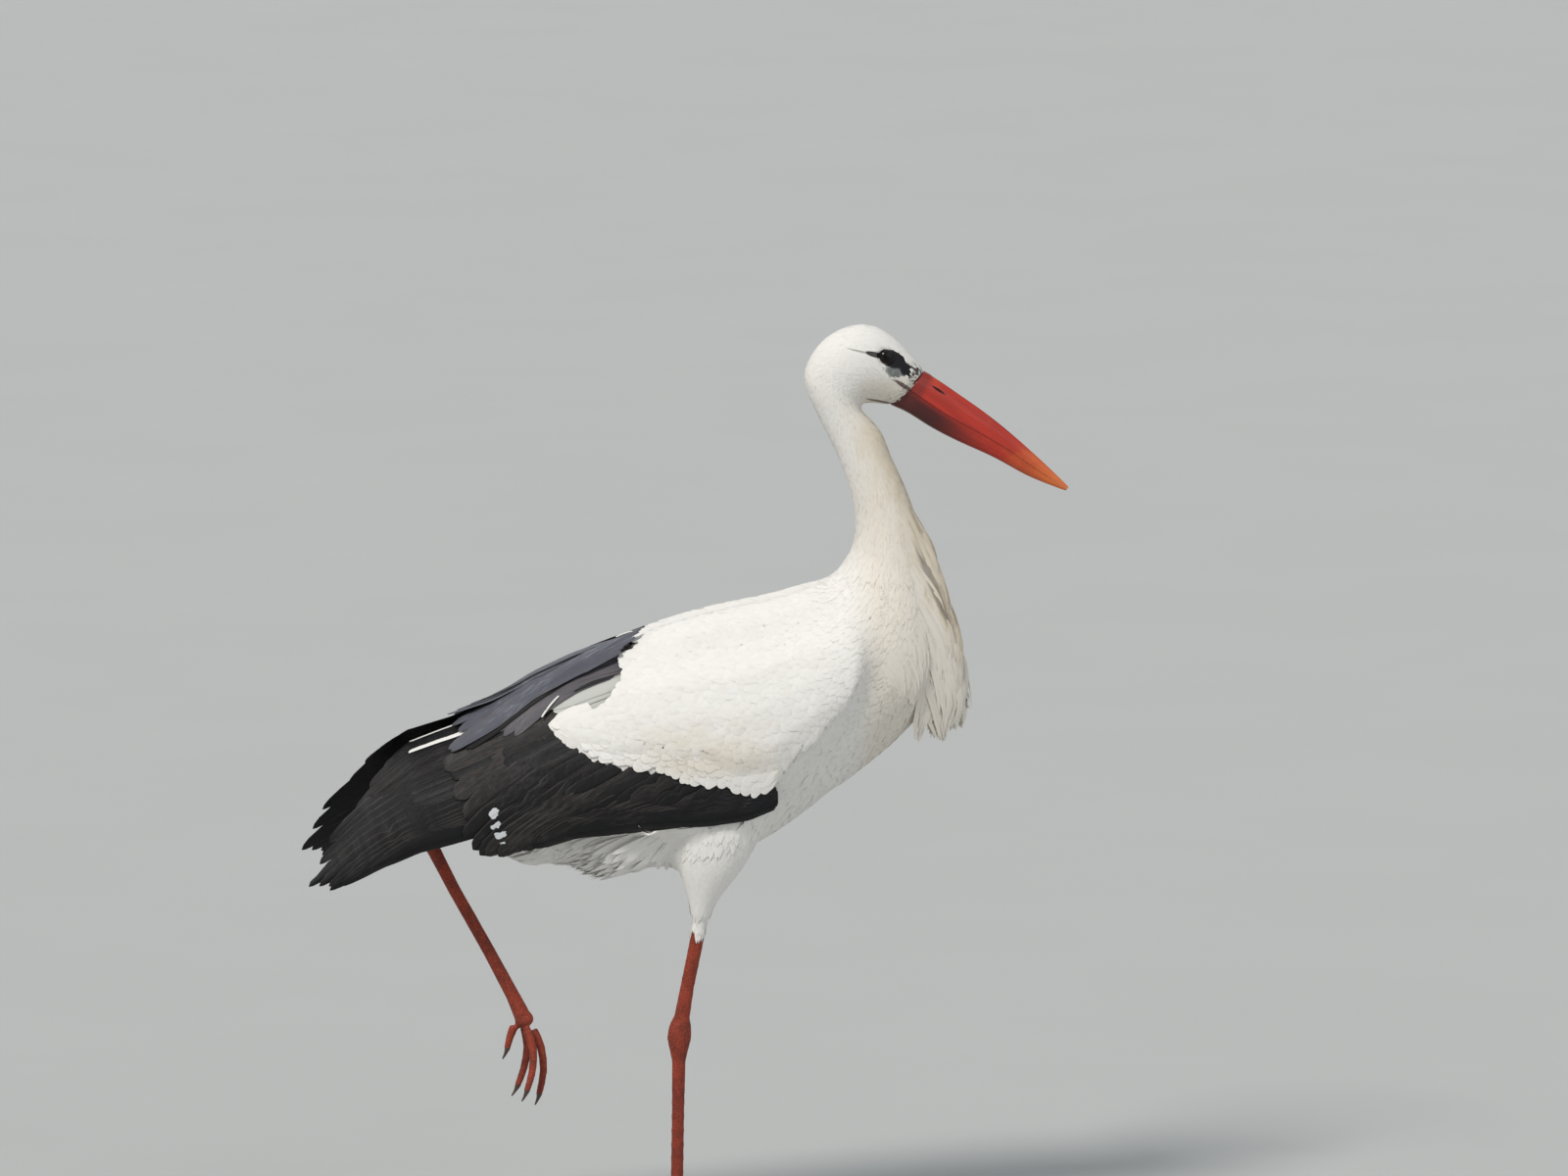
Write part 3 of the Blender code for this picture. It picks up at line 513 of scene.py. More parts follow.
# ---- vanes: shares of the length, and half width at each -----------------------------------------
HAIR = ((0.0, 0.55), (0.35, 1.0), (0.72, 0.75), (1.0, 0.06))
SOFT = ((0.0, 0.40), (0.35, 0.92), (0.66, 1.0), (0.88, 0.66), (1.0, 0.05))
LANCE = ((0.0, 0.55), (0.30, 1.0), (0.58, 0.90), (0.82, 0.52), (1.0, 0.03))
ROUND = ((0.0, 0.40), (0.30, 0.85), (0.55, 1.0), (0.76, 0.98), (0.90, 0.74), (0.975, 0.38),
         (1.0, 0.06))
THREE = ((-1.0, 0.0), (0.0, 1.0), (1.0, 0.0))
SHAFTED = ((-1.0, 0.0), (-0.55, 0.42), (-0.060, 0.50), (0.0, 1.30), (0.060, 0.50), (0.55, 0.42),
           (1.0, 0.0))
PATCH = 0.003            # each vane's size on the skin's flat map
CM = 100.0               # along a vane its own map is in centimetres, across it runs from -1 to 1


class Coat:
    """Vanes gathered into one piece of the coat."""

    def __init__(self, name):
        self.name, self.batches = name, []

    def add(self, spine, up, left, right, section, thick, rng, camber=0.0, roll=0.0, tone=None,
            round_off=0.25, leaning=None, drape=None):
        """Vanes round spines (feathers, stations, 3); left and right are their half widths.

        Round_off is how much the light sees each vane as rounded, over the surface it lies on;
        leaning turns the side the light sees; drape is how far the surface falls away under each
        edge and which way it faces there."""
        drape = drape or ((0.0, up), (0.0, up))
        way = np.gradient(spine, axis=1)
        up = level(up, unit(way))
        across = unit(np.cross(up, unit(way)))
        run = np.zeros(spine.shape[:2])
        run[:, 1:] = np.cumsum(np.linalg.norm(np.diff(spine, axis=1), axis=2), axis=1)
        columns, maps, tops = [], [], []
        for share, height in section:
            reach = np.where(share < 0, left, right) * share
            fall, edge_up = drape[int(share > 0)]
            drop = camber * reach ** 2 - roll * reach + fall * share ** 2
            rise = height * thick - drop
            columns.append(spine + across * reach[..., None] + up * rise[..., None])
            maps.append(np.stack([np.full(run.shape, share), run * CM], -1))
            shown = unit(up * (1 - abs(share)) + edge_up * abs(share))
            if leaning is not None:
                shown = unit(shown + leaning(spine))
            tops.append(unit(shown * (1 - round_off) + up * round_off
                             + across * share * round_off))
        grid = np.stack(columns, 2)
        if tone is None:
            tone = rng.random(len(spine))
        under = np.repeat(-up[:, :, None], len(section), axis=2)
        self.batches.append((grid, np.stack(maps, 2), np.asarray(tone, float), spine[:, 0],
                             np.stack(tops, 2), under))

    def make(self, material, skin, slot, replaced=()):
        """Builds the piece, with its maps and its share of the skin's flat map."""
        places, maps, bake, tones, rims, strides = [], [], [], [], [], []
        quads, below, starts, ends, tops, unders = [], [], [], [], [], []
        base = 0
        for grid, plan, tone, roots, top, under in self.batches:
            f, s, c = grid.shape[:3]
            places.append(grid.reshape(-1, 3))
            maps.append(plan.reshape(-1, 2))
            tones.append(np.repeat(tone, s * c))
            home = skin.flat_map(roots)
            spread = np.stack(np.broadcast_arrays(np.linspace(-0.5, 0.5, c)[None, :],
                                                  np.linspace(-0.5, 0.5, s)[:, None]), -1) * PATCH
            bake.append((home[:, None, None] + spread[None]).reshape(-1, 2))
            rim = np.zeros(c, bool)
            rim[0] = rim[-1] = True
            rims.append(np.tile(rim, f * s))
            strides.append(np.full(f * s * c, c))
            index = base + np.arange(f * s * c).reshape(f, s, c)
            on = np.roll(index, -1, axis=2)
            quads.append(np.stack([index[:, :-1], index[:, 1:], on[:, 1:], on[:, :-1]],
                                  -1).reshape(-1, 4))
            below.append(np.tile(np.arange(c) == c - 1, f * (s - 1)))
            tops.append(top.reshape(-1, 3))
            unders.append(under.reshape(-1, 3))
            starts.append(index[:, 0])
            ends.append(index[:, -1, ::-1])
            base += f * s * c
        faces = [np.concatenate(quads)] + starts + ends
        loops = np.concatenate([f.ravel() for f in faces])
        sizes = np.concatenate([np.full(len(f), f.shape[1]) for f in faces])
        mesh = bpy.data.meshes.new(self.name)
        mesh.vertices.add(base)
        mesh.vertices.foreach_set("co", np.concatenate(places).astype(np.float32).ravel())
        mesh.loops.add(len(loops))
        mesh.loops.foreach_set("vertex_index", loops.astype(np.int32))
        mesh.polygons.add(len(sizes))
        begins = np.concatenate([[0], np.cumsum(sizes)[:-1]])
        mesh.polygons.foreach_set("loop_start", begins.astype(np.int32))
        mesh.update(calc_edges=True)
        mesh.polygons.foreach_set("use_smooth", np.ones(len(sizes), bool))
        edges = np.empty(len(mesh.edges) * 2, np.int32)
        mesh.edges.foreach_get("vertices", edges)
        edges = np.sort(edges.reshape(-1, 2), axis=1)
        rim, stride = np.concatenate(rims), np.concatenate(strides)
        sharp = rim[edges[:, 0]] & rim[edges[:, 1]]
        sharp &= edges[:, 1] - edges[:, 0] == stride[edges[:, 0]]
        mesh.attributes.new("sharp_edge", "BOOLEAN", "EDGE").data.foreach_set("value", sharp)
        shine = np.concatenate(tops)[loops]
        below = np.repeat(np.concatenate(below), 4)
        shine[:len(below)][below] = np.concatenate(unders)[loops[:len(below)][below]]
        mesh.normals_split_custom_set(shine.tolist())
        for name, values in (("OFBake", np.concatenate(bake)), ("vane", np.concatenate(maps))):
            layer = mesh.uv_layers.new(name=name)
            layer.uv.foreach_set("vector", values[loops].astype(np.float32).ravel())
        mesh.uv_layers.active = mesh.uv_layers["OFBake"]
        mesh.attributes.new("tone", "FLOAT", "POINT").data.foreach_set(
            "value", np.concatenate(tones).astype(np.float32))
        thing = bpy.data.objects.new(self.name, mesh)
        bpy.context.scene.collection.objects.link(thing)
        settle(thing, material, slot, *replaced)


def ragged(rng, shape, amount):
    return 1.0 + (rng.random(shape) - 0.5) * 2 * amount


LENGTH_VARIES = 0.15
WIDTH_VARIES = 0.10
ROLL_VARIES = 0.06
EDGE_UP = 0.25           # how far an edge may be pushed up by the form, as a share of its reach
EDGE_DOWN = 0.90         # and how far it may bend down onto it


def strew(coat, form, roots, ways, values, rng, outline, proud=0.12, loose=0.0, wander=0.08,
          bulk=0.15, round_off=0.10, dip=0.045, together=0.0, leaning=None, turned=0.60):
    """Lays a feather at each root: it dives under its neighbours and its tip lies on them.

    Values are, for each feather and in millimetres: spacing, length, half width and root depth.
    Proud, loose and bulk are in millimetres too: how much tips vary in height, how far they may
    stand off, and how thick a vane is. Wander is how much the feathers turn from their way, dip
    how much one rises from root to tip as a share of its length, and together how evenly
    neighbours stand off. A feather that would fold over an edge is left out: turned is the least
    cosine between the ways the surface faces at its two ends."""
    count = len(roots)
    side = np.cross(ways, unit(rng.normal(size=(count, 3))))
    ways = unit(ways + unit(side) * (rng.normal(size=(count, 1)) * wander))
    length = values[:, 1] * MM * ragged(rng, count, LENGTH_VARIES)
    half = values[:, 2] * MM * ragged(rng, count, WIDTH_VARIES)
    slope = length * dip
    dive = np.maximum(values[:, 3] * MM - slope, 0.0)
    shares = [s for s, _ in outline]
    line, ups = walk(form, roots, ways, length, shares)
    flat = (ups[:, 0] * ups[:, -1]).sum(axis=1) > turned
    t = np.array(shares)[None, :]
    lift = np.broadcast_to(np.asarray(loose, float), (count,))[:, None] * MM
    rise = proud * MM * rng.random((count, 1))
    rise = rise + lift * (together + (1 - together) * rng.random((count, 1)) ** 3) * t
    height = -slope[:, None] * (1 - t) - dive[:, None] * (1 - t) ** 4 + rise
    spine = line + ups * height[..., None]
    wide = half[:, None] * np.array([w for _, w in outline])[None, :]
    roll = (rng.random((count, 1)) - 0.5) * ROLL_VARIES
    left = wide * ragged(rng, wide.shape, WIDTH_VARIES)
    right = wide * ragged(rng, wide.shape, WIDTH_VARIES)
    spine, ups, line, left, right = (a[flat] for a in (spine, ups, line, left, right))
    across = unit(np.cross(ups, unit(np.gradient(line, axis=1))))
    drape = []
    for reach in (-left, right):
        edges = line + across * reach[..., None]
        found, facing = form.nearest(edges.reshape(-1, 3))
        fall = ((edges - found.reshape(edges.shape)) * ups).sum(axis=-1)
        drape.append((np.clip(fall, -EDGE_UP * abs(reach), EDGE_DOWN * abs(reach)),
                      facing.reshape(edges.shape)))
    coat.add(spine, ups, left, right, THREE, bulk * MM, rng, roll=roll[flat], round_off=round_off,
             leaning=leaning, drape=drape)


# ---- colours -------------------------------------------------------------------------------------
WHITE = (0.83, 0.81, 0.77)
CREAM = (0.66, 0.55, 0.38)
TAN = (0.34, 0.26, 0.165)
INK = (0.010, 0.010, 0.012)
SLATE = (0.165, 0.178, 0.170)
# brown in shade: partly the plumes' own brown, partly painted shade
BROWN_IN_SHADE = (0.095, 0.080, 0.070)
MAROON = (0.060, 0.016, 0.014)
SHADED = (0.44, 0.46, 0.43)
OLD_WHITE = (0.55, 0.50, 0.42)
BARB_GREY = (0.50, 0.47, 0.42)
SPLASH = (0.62, 0.64, 0.66)
LEG_RED = (0.34, 0.050, 0.024)
LEG_DARK = (0.17, 0.030, 0.018)
LEG_DUSTY = (0.42, 0.15, 0.09)
LEG_GAPS = (0.14, 0.020, 0.012)
BILL_RED = (0.50, 0.030, 0.012)
BILL_DEEP = (0.34, 0.020, 0.010)
BILL_WARM = (0.56, 0.085, 0.020)
BILL_ORANGE = (0.66, 0.150, 0.030)
BILL_DARK = (0.030, 0.005, 0.006)
BILL_FOOT = (0.10, 0.012, 0.010)
BILL_HOLE = (0.012, 0.004, 0.004)
IRIS = (0.016, 0.009, 0.005), (0.007, 0.004, 0.003)
PUPIL = (0.001, 0.001, 0.001)
EYE_RIM = (0.004, 0.004, 0.005)
CLAW = (0.030, 0.018, 0.014), (0.090, 0.055, 0.040)
# dark feathers: ground, worn rims and painted sheen
BLACK = (0.0045, 0.0045, 0.0050), (0.075, 0.062, 0.055), (0.024, 0.023, 0.027)
# the shoulder feathers' blue-grey ground is partly their own dark grey and partly painted sheen
SILVER = (0.085, 0.089, 0.108), (0.150, 0.112, 0.098), (0.230, 0.235, 0.275)
FRONT = (0.934, 0.358)   # the way that the neck's front faces, along X and Z
# splashes on the right wing: centre X and Z, half length, half height, tilt in degrees
DROPS = ((-0.1849, 0.4613, 0.0052, 0.0042, 70.0), (-0.1836, 0.4495, 0.0050, 0.0026, 28.0),
         (-0.1790, 0.4400, 0.0062, 0.0034, 18.0), (-0.1771, 0.4317, 0.0034, 0.0008, 10.0))


def plumage(paint, tone):
    """White, with a cream neck front, streaks on the breast deepened by painted shade, painted shade
    under the cheek and on white feathers that lie in shade, and the black round the eye.
    """
    spot, x, y, z = paint.place()
    wavy = paint.noise(paint.stretch(spot, (1.0, 1.0, 0.22), (0.0, -0.35, 0.0)), 95.0, 3.0, 0.6)
    broad = paint.noise(spot, 22.0, 2.0)
    front = x * FRONT[0] + z * FRONT[1]
    on_neck = paint.ease(z, 0.535, 0.630) * paint.ease(z, 0.872, 0.815)
    cream = paint.ease(front + (wavy - 0.5) * 0.050, 0.432, 0.482) * on_neck
    stain = paint.ease(abs(x - 0.020), 0.095, 0.020) * paint.ease(abs(z - 0.520), 0.042, 0.010)
    stain = stain * paint.ease(broad, 0.35, 0.60)
    # the lower cheek gets painted shade, in cream, for the shade under the head
    cheek_shade = paint.ease(z, 0.885, 0.862) * paint.ease(x, 0.160, 0.195) * 0.35
    tint_and_shade = (cream * 0.72).most(stain * 0.40).most(cheek_shade)
    colour = paint.blend(tint_and_shade, WHITE, CREAM)
    # tan streaks on the breast plumes, partly their own tan and partly painted shade for the shadowed
    # lower part of the plumes
    streak_and_shade = paint.ease(front + (wavy - 0.5) * 0.10, 0.458, 0.492)
    streak_and_shade = streak_and_shade * paint.ease(z, 0.500, 0.545) * paint.ease(z, 0.800, 0.730)
    streak_and_shade = streak_and_shade * paint.ease(tone + (wavy - 0.5), 0.40, 0.80)
    colour = paint.blend(streak_and_shade * 0.62, colour, TAN)
    # white feathers with a tone over 1 lie in the shade of the shoulder and get painted shade
    colour = paint.blend(paint.ease(tone, 1.2, 1.6) * 0.80, colour, SHADED)
    # a dark line down the neck's front, partly brown feathers and partly painted shade
    brown_and_shade = paint.mark(x, z, DARK_STREAK, 0.6) * paint.ease(tone, 0.25, 0.55)
    colour = paint.blend(brown_and_shade * 0.62, colour, BROWN_IN_SHADE)
    stripe = paint.mark(x, z, EYE_STRIPE[0]).most(
        paint.mark(x, z, EYE_STRIPE[1], 0.7) * 0.5)
    fleck = paint.mark(x, z, LORES, 0.5) * paint.ease(tone, 0.40, 0.65)
    colour = paint.blend(stripe.most(fleck), colour, INK)
    colour = paint.blend(paint.mark(x, z, CHIN_LINE, 0.4) * 0.8, colour, MAROON)
    return paint.blend(paint.mark(x, z, GAPE, 0.5) * 0.85, colour, MAROON), spot, x, y, z


def white_feathers():
    paint = Paint("white_feathers", 0.75, Specular_IOR_Level=0.20)
    tone = paint.add("ShaderNodeAttribute", {"attribute_name": "tone"}, out="Fac")
    colour = plumage(paint, tone)[0]
    lines = barbs(paint, 70.0)[0]
    colour = paint.blend(paint.ease(tone, 0.0, 1.0, 0.0, 0.10), colour, OLD_WHITE)
    paint.feed("Base Color", paint.blend(lines * 0.035 + 0.035, colour, BARB_GREY))
    return paint.made


def barbs(paint, fine):
    """Fine slanting lines on both sides of a shaft, from the vane's own map."""
    vane = paint.add("ShaderNodeUVMap", {"uv_map": "vane"})
    u = paint.add("ShaderNodeSeparateXYZ", inputs={0: vane}, out=0)
    v = paint.add("ShaderNodeSeparateXYZ", inputs={0: vane}, out=1)
    slant = v - abs(u) * 1.5
    slant = slant + paint.noise(vane, 1.2, 2.0) * 0.4
    return paint.add("ShaderNodeMath", {"operation": "SINE"}, {0: slant * fine}), u, vane


def dark_feathers(name, colours, rough, splashes=()):
    """Flight and shoulder feathers: dark, with worn paler rims, a faint painted sheen and fine barbs.
    """
    base, worn, sheen = colours
    paint = Paint(name, rough, Specular_IOR_Level=0.24)
    tone = paint.add("ShaderNodeAttribute", {"attribute_name": "tone"}, out="Fac")
    spot, x, y, z = paint.place()
    lines, u, vane = barbs(paint, 46.0)
    broad = paint.noise(spot, 24.0, 2.0)
    streaks = paint.noise(paint.stretch(vane, (2.6, 0.30, 1.0)), 2.2, 4.0, 0.62)
    # painted sheen: patches of the vanes lightened towards the sheen colour
    gloss = paint.ease(streaks, 0.42, 0.72) * paint.ease(broad, 0.40, 0.62)
    colour = paint.blend(gloss, base, sheen)
    colour = paint.blend(paint.ease(tone, 0.35, 1.0) * paint.ease(streaks, 0.20, 0.80) * 0.7,
                         colour, worn)
    colour = paint.blend(paint.ease(abs(u), 0.80, 0.97) * paint.ease(streaks, 0.34, 0.66) * 0.50,
                         colour, worn)
    colour = paint.blend(paint.ease(abs(u), 0.055, 0.030) * 0.6, colour, base)
    # the barbs get painted sheen too
    colour = paint.blend((lines + 1.0) * 0.06, colour, sheen)
    if splashes:
        rough_x = x + (paint.noise(spot, 210.0, 2.0) - 0.5) * 0.0070
        rough_z = z + (paint.noise(spot, 170.0, 2.0) - 0.5) * 0.0060
        marks = [paint.mark(rough_x, rough_z, drop, 0.12) for drop in splashes]
        wet = marks[0]
        for mark in marks[1:]:
            wet = wet.most(mark)
        colour = paint.blend(wet * paint.ease(y, -0.02, -0.03), colour, SPLASH)
    paint.feed("Base Color", colour)
    paint.feed("Roughness", rough + (streaks - 0.5) * 0.30)
    paint.bump(lines, 0.30, 0.0003)
    return paint.made


# ---- skin ----------------------------------------------------------------------------------------
STUB_FROM = -0.1750      # behind this the skin's tail is only a short stub, the rest is feathers
STUB_SHARE = 0.30
STUB_OVER = 0.4300
FEWER = 0.30             # share of its faces that the hidden skin keeps
LEG_BARE = 0.352         # below this the legs are naked
LEG_FADE = 0.008
RAISED_BARE = -0.118     # behind this the raised leg is naked
RAISED_FADE = 0.010
# the lids: rings round the eye as shares of its size, and how far each stands off the eyeball
LID_RINGS = (0.0, 0.88, 0.98, 1.10, 1.34)
LID_HEIGHTS = (-0.0022, -0.0022, 0.0001, 0.0005, 0.0003)
CREASE = 0.00028         # how deep the creases round the lids are


class Skin:
    """The one skin under the coat, with its flat map."""

    def __init__(self):
        self.thing = fused("skin", FLESH, voxel=0.0017, smooth=2)
        self.shape()
        self.unwrap()

    def shape(self):
        """Pulls the feathered skin in by the coat's depth, and thins out its hidden faces."""
        body = Form(self.thing)
        _, values = lie_at(body.points)
        bald = self.bare(body.points)
        depth = values[:, 3] * MM * (1 - bald)
        moved = body.points - body.normals * (depth + SWELL)[:, None]
        behind = (moved[:, 0] < STUB_FROM) & (bald < 0.5) & (moved[:, 2] > STUB_OVER)
        moved[behind, 0] = STUB_FROM + (moved[behind, 0] - STUB_FROM) * STUB_SHARE
        write_places(self.thing, moved)
        group = self.thing.vertex_groups.new(name="covered")
        group.add(np.nonzero(bald < 0.02)[0].tolist(), 1.0, "REPLACE")
        apply_modifier(self.thing, "DECIMATE", ratio=FEWER, vertex_group="covered",
                       vertex_group_factor=1.0)
        self.thing.vertex_groups.clear()
        self.refine_face()
        self.shape_lids()
        for face in self.thing.data.polygons:
            face.use_smooth = True

    def refine_face(self):
        """Finer faces round the eyes, for the lids and the creases of the naked skin."""
        bpy.context.tool_settings.mesh_select_mode = (False, False, True)
        for _ in range(2):
            mesh = self.thing.data
            places = read(mesh.vertices, "co")
            near = np.hypot(places[:, 0] - EYE_AT.x, places[:, 2] - EYE_AT.z) < FACE_REACH
            chosen = [all(near[k] for k in face.vertices) for face in mesh.polygons]
            open_up(self.thing, "DESELECT")
            close_up()
            self.thing.data.polygons.foreach_set("select", chosen)
            bpy.ops.object.mode_set(mode="EDIT")
            bpy.ops.mesh.subdivide(number_cuts=1, smoothness=0.6)
            close_up()

    def shape_lids(self):
        """Sinks the skin behind each eyeball and raises its lids and the crease round them."""
        places = read(self.thing.data.vertices, "co")
        along, over = in_oval(places[:, 0], places[:, 2], LIDS)
        corner = 1.0 + 0.45 * np.clip(-along, 0.0, 1.5) ** 3 + 0.20 * np.clip(along, 0.0, 1.5) ** 3
        ring = np.sqrt((along * 0.94) ** 2 + (over * corner) ** 2)
        off = np.hypot(places[:, 0] - EYE_AT.x, places[:, 2] - EYE_AT.z)
        far = np.clip(off / EYE_RADIUS, 0.0, 0.98)
        ball = EYE_AT.y + EYE_FLAT * EYE_RADIUS * np.sqrt(1 - far ** 2)
        lid = ball + np.interp(ring, LID_RINGS, LID_HEIGHTS)
        crease = CREASE * np.sin((ring - 1.25) * 9.0 + 2.0 * along) * np.exp(
            -((ring - 1.55) / 0.40) ** 2)
        there = abs(places[:, 1])
        mixing = eased(np.clip((ring - 1.10) / 0.55, 0.0, 1.0))
        new = lid * (1 - mixing) + (there + crease) * mixing
        side = (off < FACE_REACH) & (there > 0.008)
        places[side, 1] = (np.sign(places[:, 1]) * new)[side]
        write_places(self.thing, places)

    @staticmethod
    def bare(spots):
        """1 on the legs and the naked face, 0 under feathers."""
        x, y, z = spots.T
        leg = np.clip((LEG_BARE - z) / LEG_FADE, 0, 1)
        far = (x < -0.100) & (y > 0.025) & (z < 0.4800 + (x + 0.120) * 0.35)
        raised = np.where(far, np.clip((RAISED_BARE - x) / RAISED_FADE, 0, 1), 0.0)
        face = np.zeros(len(x))
        for place, naked in NAKED:
            along, over = in_oval(x, z, place)
            face = np.maximum(face, np.clip((1.25 - along ** 2 - over ** 2) / 0.3, 0, 1) * naked)
        return np.maximum(np.maximum(leg, raised), face)

    def unwrap(self):
        self.thing.data.uv_layers.new(name="OFBake")
        open_up(self.thing)
        bpy.ops.uv.smart_project(angle_limit=radians(66.0), island_margin=0.004)
        close_up()
        self.form = Form(self.thing)
        mesh = self.thing.data
        flat = read(mesh.uv_layers["OFBake"].uv, "vector", 2)
        corners = np.empty(len(mesh.loop_triangles) * 3, np.int32)
        mesh.loop_triangles.foreach_get("loops", corners)
        self.flat = flat[corners].reshape(-1, 3, 2)

    def flat_map(self, roots):
        """Where each root lies on the flat map."""
        out = []
        for p in roots.tolist():
            where, _, index, _ = self.form.tree.find_nearest(p)
            ends = [Vector(self.form.points[k]) for k in self.form.faces[index]]
            flats = [Vector((*uv, 0.0)) for uv in self.flat[index]]
            out.append(tuple(barycentric_transform(where, *ends, *flats))[:2])
        return np.array(out)


def skin_finish():
    paint = Paint("skin", 0.60, Specular_IOR_Level=0.25)
    grain = paint.noise(paint.add("ShaderNodeTexCoord", out="Object"), 1400.0, 2.0)
    colour, spot, x, y, z = plumage(paint, grain)
    blur = paint.noise(spot, 260.0, 3.0)
    pale = paint.mark(x, z, PALE_SKIN, 0.55) * paint.ease(blur, 0.1, 0.6, 0.6, 1.0)
    colour = paint.blend(pale, colour, SLATE)
    for place in BARE_FACE:
        black = paint.mark(x + (blur - 0.5) * 0.002, z, place, 0.3)
        colour = paint.blend(black, colour, INK)
    leg = paint.ease(z, 0.353, 0.346).most(
        paint.ease(x, -0.121, -0.127) * paint.ease(y, 0.020, 0.026) * paint.ease(z, 0.480, 0.470))
    cells = paint.add("ShaderNodeTexVoronoi", {"feature": "DISTANCE_TO_EDGE"},
                      {"Vector": paint.stretch(spot, (1.0, 1.0, 0.8)), "Scale": 430.0})
    gaps = paint.ease(cells, 0.0, 0.16)
    blotch = paint.noise(spot, 60.0, 4.0, 0.6)
    red = paint.blend(paint.ease(blotch, 0.35, 0.68), LEG_RED, LEG_DARK)
    red = paint.blend(paint.ease(paint.noise(spot, 700.0, 2.0), 0.45, 0.75) * 0.35, red, LEG_DUSTY)
    red = paint.blend(gaps * 0.55 + 0.45, LEG_GAPS, red)
    colour = paint.blend(leg, colour, red)
    paint.feed("Base Color", colour)
    folds = paint.noise(paint.stretch(spot, (1.0, 1.0, 2.2), (0.0, 0.6, 0.0)), 420.0, 3.0)
    paint.bump(gaps * leg + folds * (1.0 - leg) * 0.5, 0.5, 0.0006)
    return paint.made


# ---- wings ---------------------------------------------------------------------------------------
def carrier_rows(x):
    return [np.interp(x, CARRIER[:, 0], CARRIER[:, k]) for k in (1, 2, 3)]


def carrier_angle(x, z):
    """How far round from the top of the back a height lies."""
    top, low, _ = carrier_rows(x)
    return np.arccos(np.clip((z - (top + low) / 2) / ((top - low) / 2), -0.98, 1.0))


def carrier_point(x, angle, off, side):
    """A point on the wings' surface, raised by off."""
    top, low, half = carrier_rows(x)
    lift = np.zeros_like(x)
    if side > 0:
        lift = LEFT_LIFT * np.clip((LIFT_FROM - x) / (LIFT_FROM - LIFT_TO), 0.0, 1.2)
    height = (top + low) / 2 + ((top - low) / 2 + off) * np.cos(angle) + lift
    return np.stack([x, side * (half + off) * np.sin(angle), height], -1)


def smooth_row(rows, share):
    """The row at this share of the way along a smooth curve through evenly numbered rows."""
    rows = np.asarray(rows)
    at = min(max(share, 0.0), 1.0) * (len(rows) - 1)
    i = min(int(at), len(rows) - 2)
    t = at - i
    p, q = rows[max(i - 1, 0)], rows[i]
    r, s = rows[i + 1], rows[min(i + 2, len(rows) - 1)]
    return q + 0.5 * t * (r - p + t * (2 * p - 5 * q + 4 * r - s + t * (3 * (q - r) + s - p)))


def rounds(*rows):
    """X and the angle round from the top, from X and either a height or degrees over 1."""
    return np.array([(x, radians(z) if z > 1.0 else carrier_angle(x, z)) for x, z in rows])


def numbered(count):
    """Numbers the feathers of a group, each with its share of the way along the group."""
    return [(i, i / (count - 1)) for i in range(count)]


def strayed(place, rng, along, turn):
    """A place moved by up to half of these amounts along X and round the wing."""
    return place + (rng.random(2) - 0.5) * (along, turn)


def blade_outline(stations, point, waist):
    """Half widths along a flight feather: narrow root, even sides, tip closing over the last part."""
    t = np.linspace(0.0, 1.0, stations) ** 0.9
    t[-3:] = (1 - 0.045, 1 - 0.015, 1.0)
    wide = np.minimum(1.0, waist + (1 - waist) * t / 0.25)
    close = np.clip((t - (1 - point)) / point, 0.0, 1.0)
    return t, wide * np.sqrt(np.maximum(1 - close ** 2.2, 0.004))


def wing_feather(coat, side, rng, root, middle, tip, half, off, tone, stations, point,
                 waist=0.45, roll=0.0, lean=0.30, thick=0.55, round_off=0.25):
    """One broad feather laid on the wing from root through middle to tip.

    Half width, the heights over the wing at root and tip, and the thickness are in millimetres.
    Point is the share of the length over which the tip closes, waist the root's width as a share
    of the whole, and lean how much wider the lower side of the shaft is than the upper."""
    t, wide = blade_outline(stations, point, waist)
    a, b, c = (np.asarray(row) for row in (root, middle, tip))
    path = (a * ((1 - t) ** 2)[:, None] + (4 * b - a - c) / 2 * (2 * t * (1 - t))[:, None]
            + c * (t ** 2)[:, None])
    height = (off[1] + (off[0] - off[1]) * (1 - t) ** 3) * MM
    spine = carrier_point(path[:, 0], path[:, 1], height, side)
    upper = carrier_point(path[:, 0], path[:, 1], height + 0.001, side)
    up = unit(upper - spine)
    nicks = np.ones(stations)
    for _ in range(rng.integers(0, 3)):
        nicks[rng.integers(stations // 2, stations - 2)] -= 0.12 + 0.15 * rng.random()
    left = half * MM * wide * (1 + lean) * nicks * ragged(rng, stations, 0.02)
    right = half * MM * wide * (1 - lean) * ragged(rng, stations, 0.03)
    if side > 0:
        left, right = right, left
    coat.add(spine[None], up[None], left[None], right[None], SHAFTED, thick * MM, rng,
             camber=0.5 / RIB, roll=roll * side, tone=[tone], round_off=round_off)


